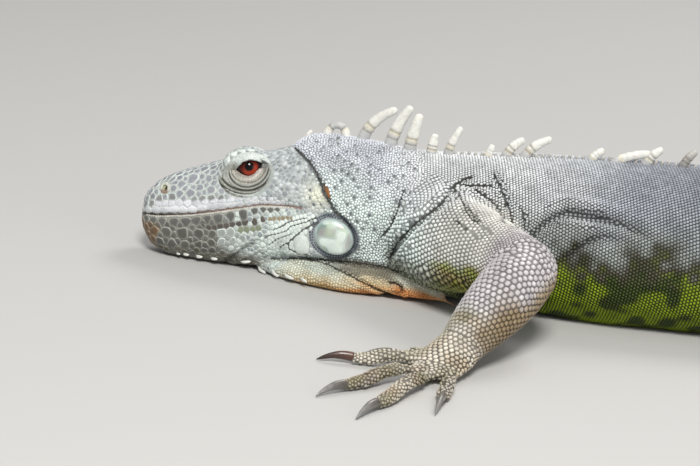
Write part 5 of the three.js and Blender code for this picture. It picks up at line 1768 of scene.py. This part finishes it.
# Shells of the crest and ridge, then the spine that arches over the crease behind the head, each with
# its tint from foot to tip (10 more for the grey ones) and the dark marks at its joints.
def crestShells():
    shells, tints, marks = [], [], []
    for index, (at, tall, thick, lean) in enumerate(crest + ridge):
        grid = spine if index < len(crest) else tooth
        share = np.linspace(0, 1, grid["rows"])
        top = curveThrough(body["sections"], at)[..., 0]
        reach = tall + spine["root"]
        foot = bodyPoint(at, 0, top - spine["root"])
        up = unit(bodyPoint(at, 0, top) - bodyPoint(at, 0, top - 2))
        along = unit(bodyPoint(at + 2, 0, top) - bodyPoint(at, 0, top))
        sway = spine["sway"] * random.uniform(-1, 1) * np.sin(share * 2.6) * tall / 16
        bend = spine["bend"] * min(lean / tall, 1)
        line = (foot + up * (reach * share * (1 - bend * share) / (1 - bend))[:, None]
                + along * (lean * share ** 1.6)[:, None] + np.array([0, 1, 0]) * sway[:, None])
        wide = np.maximum((thick - spine["inset"]) * spineProfile(share, reach), 0.15)
        shells.append(hornShell(line, wide, np.maximum(0.72 * wide, 0.25), columns=grid["columns"]))
        grey = 10 if at > 236 or tall < 2 else 0
        tints.append(np.concatenate([np.repeat(share, grid["columns"]), [0, 1]]) + grey)
        past = (share[:, None] - spineJoints(reach)) * reach
        ringed = np.exp(-((past / 0.38) ** 2)).max(1) * (tall > 6)
        marks.append(np.concatenate([np.repeat(ringed, grid["columns"]), [0, 0]]))
    turn = np.linspace(0, np.pi, spine["rows"])
    middle = (archedSpine["from"] + archedSpine["to"]) / 2
    half = (archedSpine["to"] - archedSpine["from"]) / 2
    at = middle - half * np.cos(turn)
    top = curveThrough(body["sections"], at)[..., 0]
    line = bodyPoint(at, 0, top - 1.6 + (archedSpine["tall"] + 1.0) * np.sin(turn))
    wide = archedSpine["thick"] * np.interp(turn, [0, 0.6, 1.2, 1.9, 2.5, np.pi],
                                            [1.2, 1.06, 0.84, 0.84, 1.06, 1.2])
    ringed = np.exp(-(((turn[:, None] - [0.85, 2.25]) / 0.09) ** 2)).max(1)
    wide = wide * (1 - 0.16 * ringed)
    shells.append(hornShell(line, wide, wide * 0.95))
    shade = 0.55 - 0.5 * np.sin(turn) ** 2
    tints.append(np.concatenate([np.repeat(shade, spine["columns"]), [0, 0.5]]))
    marks.append(np.concatenate([np.repeat(ringed, spine["columns"]), [0, 0]]))
    return shells, np.concatenate(tints), np.concatenate(marks)


# Horn: the marking colour with fine streaks and a thin clear surface, lit a little from inside.
def hornMaterial(name, settings):
    material, tree, shader = newMaterial(name, settings["roughness"])
    grain = addTexture(tree, "ShaderNodeTexNoise", Scale=settings["grain"], Detail=5.0, Roughness=0.65,
                       Distortion=0.6).outputs["Fac"]
    shadeColour(tree, shader, addRange(tree, grain, 0.3, 0.7, settings["dark"], 1.08))
    bump = addBump(tree, grain, settings["bump"], 0.0002)
    tree.links.new(bump.outputs["Normal"], shader.inputs["Normal"])
    for key, value in (("Subsurface Weight", settings["glow"]), ("Subsurface Scale", 1.0),
                       ("Subsurface Radius", (0.0012, 0.0009, 0.0007)),
                       ("Coat Weight", settings["coat"]), ("Coat Roughness", 0.25)):
        shader.inputs[key].default_value = value
    return material


horns = {
    "crest": {"roughness": 0.5, "grain": 700, "dark": 0.8, "bump": 0.5, "glow": 0.15, "coat": 0.1},
    "claw": {"roughness": 0.34, "grain": 520, "dark": 0.68, "bump": 0.45, "glow": 0.12, "coat": 0.35},
    "shield": {"roughness": 0.3, "grain": 260, "dark": 0.9, "bump": 0.1, "glow": 0.1, "coat": 0.5},
    "drum": {"roughness": 0.45, "grain": 500, "dark": 0.7, "bump": 0.3, "glow": 0.0, "coat": 0.1},
}
hornMaterials = {name: hornMaterial(f"horn_{name}", settings) for name, settings in horns.items()}
crestList, crestTint, crestMark = crestShells()
tint = crestTint % 10
crestColour = mix(tone(186, 188, 188), tone(222, 222, 216), smoothStep(tint, 0.2, 0.5))
crestColour = mix(crestColour, tone(222, 206, 158), 0.35 * np.exp(-((tint - 0.36) / 0.05) ** 2))
crestColour = np.where(crestTint[:, None] >= 5, mix(tone(118, 120, 122), tone(190, 188, 182), tint),
                       crestColour)
crestColour = mix(crestColour, tone(112, 102, 84), 0.6 * crestMark)
addPiece("crest", joinShells(crestList), crestColour, hornMaterials["crest"])


# Small flat white spikes rooted on the lower edge of the jaw and on the front of the throat's first
# fold, as (distance from the snout, how far out and how high to look for the root, length, half width).
spikes = {
    "places": [(18.2, 9, 0.4, 2.2, 0.6), (21.6, 10, 0.4, 3.2, 0.75), (27.6, 11, 0.4, 3.6, 0.85),
               (34.6, 12, 0.4, 3.8, 0.8), (49.6, 14, 0.4, 5.2, 0.85), (55.4, 15, 0.4, 5.8, 0.8),
               (61.6, 22, 0.6, 4.8, 0.85), (67.2, 31, 1.0, 5.4, 0.9), (75.4, 33, 1.0, 4.8, 0.85)],
    "rows": 12, "columns": 12,
}


# Shells of the spikes: each starts inside the hide, leaves it backward and lies along it.
def spikeShells():
    share = np.linspace(0, 1, spikes["rows"])
    shells = []
    for at, out, high, length, half in spikes["places"]:
        root, normal = (np.array(part) for part in skinTree.find_nearest((at, -out, high))[:2])
        way = np.array([1, -0.3 - 0.25 * (at < 40), -0.06])
        way = unit(way - normal * (way @ normal))
        lift = 0.55 + 0.35 * np.sin(share * 2.4) - 1.2 * np.exp(-share / 0.12)
        line = root + way * (length * (share - 0.12))[:, None] + normal * lift[:, None]
        line[:, 2] = np.maximum(line[:, 2], 0.5)
        wide = half * np.interp(share, [0, 0.3, 0.75, 0.94, 1], [0.7, 1, 0.8, 0.4, 0.08])
        shell = hornShell(line, wide * 0.5, wide, np.array([0, 0, 1.0]), columns=spikes["columns"])
        shell[0][:, 2] = np.maximum(shell[0][:, 2], 0.02)
        shells.append(shell)
    return shells


spikeList = spikeShells()
spikeRise = np.repeat(np.linspace(0, 1, spikes["rows"]), spikes["columns"])
spikeTint = np.tile(np.concatenate([spikeRise, [0, 1]]), len(spikeList))
addPiece("throat_spikes", joinShells(spikeList), mix(tone(206, 208, 200), tone(236, 238, 234), spikeTint),
         hornMaterials["crest"])


# A claw: rings from the end of the toe forward, drooping toward a point that is narrower below.
def clawShell(leg, side, digit):
    rows = digitRows(leg, side, digit)
    tip = rows[-1]
    ahead = unit((tip - rows[-2])[:3] * np.array([1, 1, 0]))
    share = np.linspace(0, 1, claws["rows"])
    base = claws["base"] * (1.0 if leg is foreLeg else 0.95)
    width = np.interp(share, [0, 0.4, 0.75, 1], [1, 0.8, 0.5, 0.16]) * (1 - 0.25 * smoothStep(share, 0.9, 1))
    height = tip[2] + 0.3
    drop = (height - claws["droop"]) * share ** 1.7 - 0.4 * base * np.sin(np.pi * share)
    line = tip[:3] + ahead * ((claws["length"] + 1.0) * share - 1.1)[:, None]
    line[:, 2] = height - drop
    turn = fullTurn(claws["columns"])[:, None]
    across = np.array([-ahead[1], ahead[0], 0])
    below = 1 - 0.25 * np.clip(-np.sin(turn), 0, 1)
    wide = (base * 0.8 - 0.12) * width
    high = (base - 0.12) * width
    rings = (line[:, None] + across * (wide[:, None, None] * np.cos(turn) * below)
             + np.array([0, 0, 1.0]) * (high[:, None, None] * np.sin(turn)))
    rings[..., 2] = np.maximum(rings[..., 2], 0.05)
    return tubeShell(rings), np.concatenate([np.repeat(share, claws["columns"]), [0, 1]])


for leg, legName in ((foreLeg, "hand"), (hindLeg, "foot")):
    for side, sideName in sidesNamed:
        shells, tints = [], []
        for index, digit in enumerate(leg["digits"]):
            shell, share = clawShell(leg, side, digit)
            dark = leg is foreLeg and side < 0 and index == 1  # one claw is browner than the rest
            root = tone(92, 64, 52) if dark else tone(92, 86, 80)
            end = tone(56, 40, 34) if dark else tone(134, 132, 130)
            shells.append(shell)
            tints.append(mix(root, end, smoothStep(share, 0.05, 0.8)))
        nodes = [f"claw_{legName}_{sideName}_{digit + 1}" for digit in range(len(leg["digits"]))]
        addPiece(f"claws_{legName}_{sideName}", joinShells(shells), np.vstack(tints), hornMaterials["claw"],
                 nodes)


# Eyeball: a ball that bulges a little outward, with the reach of the pupil and of the iris in degrees
# away from the gaze.
eyeLook = {"pupil": 19.5, "iris": 41, "bulge": 0.35, "gaze": (0.04, 0.985, 0.13), "rows": 60, "columns": 96}


# The ball's shell, with the angle between each point's way from the middle and the gaze, and its turn
# about the gaze.
def eyeShell(side):
    polarTurn = np.linspace(0.02, np.pi - 0.02, eyeLook["rows"])[:, None]
    turn = fullTurn(eyeLook["columns"])
    radius = eyeBall["radius"] + eyeLook["bulge"] * np.exp(-(np.degrees(polarTurn) / 30) ** 2)
    at = eyeBall["at"] + radius * np.sin(polarTurn) * np.cos(turn)
    up = eyeBall["up"] + radius * np.sin(polarTurn) * np.sin(turn)
    out = eyeBall["out"] + radius * np.cos(polarTurn) * np.ones(len(turn))
    shell = tubeShell(bodyPoint(at, side * out, up))
    at, out, up = bodyPlace(shell[0])
    way = unit(np.stack([at - eyeBall["at"], side * out - eyeBall["out"], up - eyeBall["up"]], 1))
    gaze = unit(np.array(eyeLook["gaze"]))
    away = np.degrees(np.arccos(np.clip(way @ gaze, -1, 1)))
    return shell, away, np.arctan2(way[:, 2] - gaze[2], way[:, 0] - gaze[0])


# Faces turned to look outward, told by the sign of the volume that they enclose.
def outward(shell):
    points, faces = shell
    volume = sum((points[part[:, 0]] * np.cross(points[part[:, k]], points[part[:, k + 1]])).sum()
                 for part in faces for k in range(1, part.shape[1] - 1))
    return points, [part[:, ::-1] for part in faces] if volume < 0 else faces


irisMaterial, irisTree, irisShader = newMaterial("eye_wet", 0.12, 0.08)
irisColour = addNode(irisTree, "ShaderNodeAttribute", attribute_name="hide")
irisTree.links.new(irisColour.outputs["Color"], irisShader.inputs["Base Color"])
for key, value in (("Coat Weight", 0.45), ("Coat Roughness", 0.02), ("Coat IOR", 1.38)):
    irisShader.inputs[key].default_value = value
for side, sideName in sidesNamed:
    shell, away, turn = eyeShell(side)
    grain = noiseAt(np.column_stack([np.cos(turn) * 9, np.sin(turn) * 9, away / 14]), 1.0, 5)
    spokes = 0.5 + 0.5 * np.sin(turn * 34 + 2.4 * grain)
    # painted shade: the iris darkens toward the top and front, under the brow and lid, and is brightest
    # toward the bottom and rear
    deep = mix(tone(38, 10, 8), tone(164, 58, 36), smoothStep(-np.sin(turn - 0.9) + 0.5 * grain, -0.9, 0.8))
    pupil, iris = eyeLook["pupil"], eyeLook["iris"]
    rust = deep * (0.62 + 0.5 * spokes * smoothStep(away, pupil, 28))[:, None]
    rust = mix(rust, tone(70, 14, 12), smoothStep(away, iris - 8, iris))
    ringed = mix(tone(150, 62, 38), rust, smoothStep(away, pupil, pupil + 3))
    whole = mix(np.array([0.004, 0.003, 0.003]), ringed, smoothStep(away, pupil - 1, pupil + 0.6))
    whole = mix(whole, tone(40, 28, 26), smoothStep(away, iris, iris + 5))
    # the lids throw a shade on the ball from above and from behind
    whole = whole * (1 - 0.7 * smoothStep(away * np.sin(turn), -6, 20))[:, None]
    whole = whole * (1 - 0.45 * smoothStep(-away * np.cos(turn), 8, 34))[:, None]
    addPiece(f"eye_{sideName}", outward(shell), whole, irisMaterial, [f"eye_{sideName}"])


# Jowl shield: a ball drawn out into an oval with a broad, even face, turned a little to the front.
def shieldShell(side, rows=90, columns=128):
    polarTurn = np.linspace(0.03, np.pi - 0.03, rows)[:, None]
    turn = fullTurn(columns)
    radii = shield["size"]
    reach = np.sin(polarTurn) ** shield["fullness"]
    x = radii[0] * reach * np.cos(turn)
    z = radii[2] * reach * np.sin(turn)
    y = radii[1] * np.cos(polarTurn) * np.ones(columns)
    lean = math.radians(shield["turn"])
    points = bodyPoint(shield["at"] + x * math.cos(lean),
                       side * (shield["out"] + y + x * math.sin(lean)), shield["up"] + z)
    return outward(tubeShell(points)), np.concatenate([np.repeat(reach, columns), [0, 0]])


# Ear: rings of a leaning oval laid on the plane that lies nearest to the hide there, swollen in the middle.
def earShell(side):
    turn = fullTurn(64)
    profile = [(0.03, 0.3), (0.4, 0.27), (0.7, 0.16), (0.9, 0.0), (1.0, -0.3), (1.0, -1.3), (0.5, -1.4),
               (0.03, -1.4)]
    reach, swell = np.array(profile).T
    tilt = math.radians(earDisc["tilt"])
    across = earDisc["size"][0] * reach[:, None] * np.cos(turn)
    along = earDisc["size"][1] * reach[:, None] * np.sin(turn)
    at = earDisc["at"] + across * math.cos(tilt) - along * math.sin(tilt)
    up = earDisc["up"] + across * math.sin(tilt) + along * math.cos(tilt)
    hits, missed = onHead(np.stack([at[4], up[4]], 1), side, skinTree)
    known = np.column_stack([np.ones(len(turn)), at[4], up[4]])[~missed]
    level = np.linalg.lstsq(known, np.abs(bodyPlace(hits)[1])[~missed], rcond=None)[0]
    out = level[0] + level[1] * at + level[2] * up + earDisc["over"] + swell[:, None]
    points = bodyPoint(at, side * out, up)
    return outward(tubeShell(points)), np.concatenate([np.repeat(reach, len(turn)), [0, 0]])


for side, sideName in sidesNamed:
    shell, reach = shieldShell(side)
    cloud = noiseAt(shell[0], 6.0, 3.1)
    patch = noiseAt(shell[0], 4.2, 9.7)
    speck = noiseAt(shell[0], 3.0, 1.3)
    colour = mix(tone(122, 146, 138), tone(196, 210, 202), smoothStep(cloud, 0.3, 0.62))
    colour = mix(colour, tone(158, 150, 152), 0.6 * smoothStep(patch, 0.5, 0.68))
    colour = mix(colour, tone(160, 182, 146), 0.4 * smoothStep(speck, 0.55, 0.72))
    colour = mix(colour, tone(226, 236, 230), 0.6 * smoothStep(-patch, -0.42, -0.3))
    colour = mix(colour, tone(170, 190, 190), 0.75 * smoothStep(reach, 0.8, 0.98))
    addPiece(f"shield_{sideName}", shell, colour, hornMaterials["shield"],
             [f"jowl_shield_{sideName}"])
    shell, reach = earShell(side)
    streak = noiseAt(shell[0], 1.4, 6.2)
    colour = mix(tone(168, 112, 66), tone(112, 74, 46), smoothStep(streak, 0.4, 0.62))
    colour = mix(colour, tone(60, 42, 30), smoothStep(reach, 0.72, 0.98))
    addPiece(f"ear_{sideName}", shell, colour, hornMaterials["drum"], [f"ear_{sideName}"])


# Eyelids: a ring of hide from the eye's opening to the scales around it. It lies just over the eyeball at
# the opening and on the bare head further out, with folds sunk along four curves under the eye.
lidPatch = {"columns": 216, "rows": 84, "over": 0.5, "blend": 3.4, "brow": 1.0, "ridge": 0.4, "sink": 0.3,
            "blocks": 26}


# The lids' shell and tones: the distance out is blended from the ball's to the bare head's, less a
# groove of exp(-(gap / width) ^ 2) at each fold.
def eyelids(side):
    turn = fullTurn(lidPatch["columns"])
    share = np.linspace(0, 1, lidPatch["rows"])[:, None]
    opening = roundTable(lids["opening"], turn, 2.0)
    outer = roundTable(lids["outer"], turn) + 0.3
    radius = opening + (outer - opening) * share
    plane = aroundPoint(lids["centre"], radius, turn)
    hits, missed = onHead(plane.reshape(-1, 2), side, bareTree)
    out = np.abs(bodyPlace(hits)[1])
    out[missed] = np.nan
    out = out.reshape(radius.shape)
    for row in range(1, len(out)):
        out[row] = np.where(np.isnan(out[row]), out[row - 1] - 0.4, out[row])
    out = np.where(np.isnan(out), np.nanmedian(out), out)
    away = np.hypot(plane[..., 0] - eyeBall["at"], plane[..., 1] - eyeBall["up"])
    ball = eyeBall["out"] + np.sqrt(np.maximum((eyeBall["radius"] + 0.25) ** 2 - away**2, 0))
    past = radius - opening
    full = np.maximum(out, ball + lidPatch["over"])
    near = ball + lidPatch["over"]
    out = mix(near[..., None], full[..., None], smoothStep(past, 0, lidPatch["blend"]))[..., 0]
    lower = 1 - smoothStep(np.sin(turn) + 0.45 * (np.cos(turn) < 0), 0.0, 0.3)
    upper = smoothStep(np.sin(turn), 0.1, 0.6)
    out = out + lidPatch["brow"] * upper * np.exp(-((past - 1.9) / 1.5) ** 2)
    marks = []
    for index in range(4):
        where = roundTable([(row[0], row[index + 1]) for row in lids["folds"]], turn)
        line = np.exp(-((radius - where) / lids["foldWidth"][index]) ** 2) * lower
        marks.append(line)
        out = out - lids["foldDepth"][index] * line
        ridge = np.exp(-((radius - where - 0.9) / 0.55) ** 2) * lower
        out = out + lidPatch["ridge"] * ridge
    rim = smoothStep(share + 0 * radius, 0.93, 1.0)
    out = out - lidPatch["sink"] * rim
    grain = noiseAt(bodyPoint(plane[..., 0], out, plane[..., 1]), 0.9, 2.7)
    out = out + 0.16 * (grain - 0.5) * smoothStep(past, 0.5, 1.5)
    colour = mix(tones["lidGrey"], tones["browWhite"], smoothStep(np.sin(turn) + 0 * radius, 0.0, 0.45))
    blotch = noiseAt(bodyPoint(plane[..., 0], out, plane[..., 1]), 2.6, 4.4)
    colour = colour * (0.82 + 0.36 * blotch)[..., None]
    colour = mix(colour, tones["lidPink"], lower * (1 - smoothStep(past, 1.2, 2.4)))
    colour = mix(colour, tones["lidBrown"], 0.85 * marks[0])
    # painted shade: the grooves of the three outer folds are painted nearly black
    colour = mix(colour, tones["lidGroove"], 0.92 * np.clip(marks[1] + marks[2] + marks[3], 0, 1))
    blocks = 0.5 + 0.5 * np.sin(turn * lidPatch["blocks"] + 3 * blotch)
    lowest = np.exp(-((radius - where - 0.2) / 0.8) ** 2)  # just under the last fold
    colour = mix(colour, tones["lidDark"], 0.85 * lowest * lower * smoothStep(blocks, 0.2, 0.5))
    # painted shadow: a dark line along the opening, strongest on the upper lid under the brow
    edge = np.exp(-(past / 0.55) ** 2)
    colour = mix(colour, tones["lidDark"], edge * (0.25 + 0.75 * upper))
    corner = np.exp(-(((np.cos(turn - 0.25) - 1) / 0.03) ** 2)) * np.exp(-(past / 2.2) ** 2)
    colour = mix(colour, tones["lidPurple"], 0.8 * corner)
    # two rings lead inside the ball and one behind the outer edge, so that the shell is closed
    radii = np.vstack([radius[0] - 0.05, radius[0] - 0.05, radius, radius[-1]])
    outs = np.vstack([ball[0] - 0.5, ball[0] + 0.15, out, out[-1] - 1.8])
    plane = aroundPoint(lids["centre"], radii, turn)
    points = bodyPoint(plane[..., 0], side * outs, plane[..., 1])
    colour = np.concatenate([np.tile(tones["lidDark"], (2, len(turn), 1)), colour, colour[-1:]])
    if side < 0:
        points, colour = points[:, ::-1], colour[:, ::-1]
    return outward(tubeShell(points)), np.vstack([colour.reshape(-1, 3), tones["lidDark"], tones["lidDark"]])


addTones(lidGrey=(172, 176, 168), lidPink=(214, 205, 196), lidBrown=(122, 92, 66), lidGroove=(44, 38, 26),
         lidDark=(48, 38, 30), lidPurple=(112, 90, 100))
lidMaterial = hideMaterial("hide_lids", {"roughness": 0.5, "specular": 0.45, "grain": 2200, "blotch": 300,
                                         "dark": 0.8, "light": 1.1, "bump": 0.6, "granules": 950})
for side, sideName in sidesNamed:
    shell, colour = eyelids(side)
    addPiece(f"lids_{sideName}", shell, colour, lidMaterial)


# Nostril: a shallow bowl inside a raised ring of hide.
def nostrilShell(side):
    turn = fullTurn(72)
    profile = [(0.1, -1.5), (0.5, -1.45), (0.85, -1.2), (1.1, -0.7), (1.25, -0.1), (1.45, 0.28), (1.75, 0.42),
               (2.05, 0.35), (2.35, 0.1), (2.6, -0.15), (2.8, -0.5), (2.8, -1.6)]
    radius, depth = np.array(profile).T
    plane = aroundPoint(nostril["centre"], radius[:, None], turn)
    hits = onHead(plane.reshape(-1, 2), side, bareTree)[0]
    out = np.abs(bodyPlace(hits)[1]).reshape(plane.shape[:2]) + depth[:, None]
    points = bodyPoint(plane[..., 0], side * out, plane[..., 1])
    rear = smoothStep(np.cos(turn) - 0.3 * np.sin(turn), -0.2, 0.7)
    bowl = mix(tone(186, 190, 158), tone(62, 56, 38), rear)
    # painted shade: the ring browns on its lower side, as shade beneath it
    ringTone = mix(tone(212, 216, 206), tone(156, 134, 118), smoothStep(-np.sin(turn), 0.2, 0.9))
    colour = mix(bowl, ringTone, smoothStep(radius, 1.0, 1.35)[:, None])
    if side < 0:
        points, colour = points[:, ::-1], colour[:, ::-1]
    ends = colour[0].mean(0), colour[-1].mean(0)
    return outward(tubeShell(points)), np.vstack([colour.reshape(-1, 3), *ends])


for side, sideName in sidesNamed:
    shell, colour = nostrilShell(side)
    addPiece(f"nostril_{sideName}", shell, colour, lidMaterial)


floor = {"half": 8.0, "below": 0.0002, "tone": (0.5, 0.5, 0.49, 1)}  # in metres
floorMaterial, _, floorShader = newMaterial("studioFloor", 0.9, 0.2)
floorShader.inputs["Base Color"].default_value = floor["tone"]
floorPiece = makeObject("studio", [(x * floor["half"], y * floor["half"], -floor["below"])
                                   for x, y in ((-1, -1), (1, -1), (1, 1), (-1, 1))],
                        [np.array([[0, 1, 2, 3]])], rowFrame=False)
floorPiece.data.materials.append(floorMaterial)

camera = {"target": (97.1, 2.9, 19.5), "elevation": 15.5, "distance": 1000, "roll": 7, "width": 325.6}
lens = bpy.data.cameras.new("camera")
lens.angle = 2 * math.atan(camera["width"] / 2 / camera["distance"])
lens.clip_start, lens.clip_end = 0.01, 50
eye = bpy.data.objects.new("camera", lens)
bpy.context.scene.collection.objects.link(eye)
tilt = math.radians(camera["elevation"])
look = Vector((0, math.cos(tilt), -math.sin(tilt)))
turned = look.to_track_quat("-Z", "Y").to_matrix() @ Matrix.Rotation(math.radians(camera["roll"]), 3, "Z")
spot = Vector(toRow(np.array(camera["target"]))) - look * camera["distance"] / 1000
eye.matrix_world = Matrix.Translation(spot) @ turned.to_4x4()
bpy.context.scene.camera = eye

bpy.context.scene.view_settings.view_transform = "Standard"
lights = {
    "key": {"place": (-0.5, -1.2, 1.3), "size": 0.5, "power": 30},
    "fill": {"place": (1.2, -1.5, 0.7), "size": 1.4, "power": 6},
    "back": {"place": (0.2, 1.1, 1.5), "size": 0.9, "power": 16},
}
for name, settings in lights.items():
    lamp = bpy.data.lights.new(name, "AREA")
    lamp.shape = "DISK"
    lamp.size = settings["size"]
    lamp.energy = settings["power"]
    lamp.color = (1, 0.97, 0.93)
    piece = bpy.data.objects.new(name, lamp)
    piece.location = settings["place"]
    piece.rotation_euler = (-Vector(settings["place"])).to_track_quat("-Z", "Y").to_euler()
    bpy.context.scene.collection.objects.link(piece)
world = bpy.data.worlds.new("studio")
world.use_nodes = True
for key, value in (("Color", (0.98, 0.98, 1, 1)), ("Strength", 0.4)):
    world.node_tree.nodes["Background"].inputs[key].default_value = value
bpy.context.scene.world = world
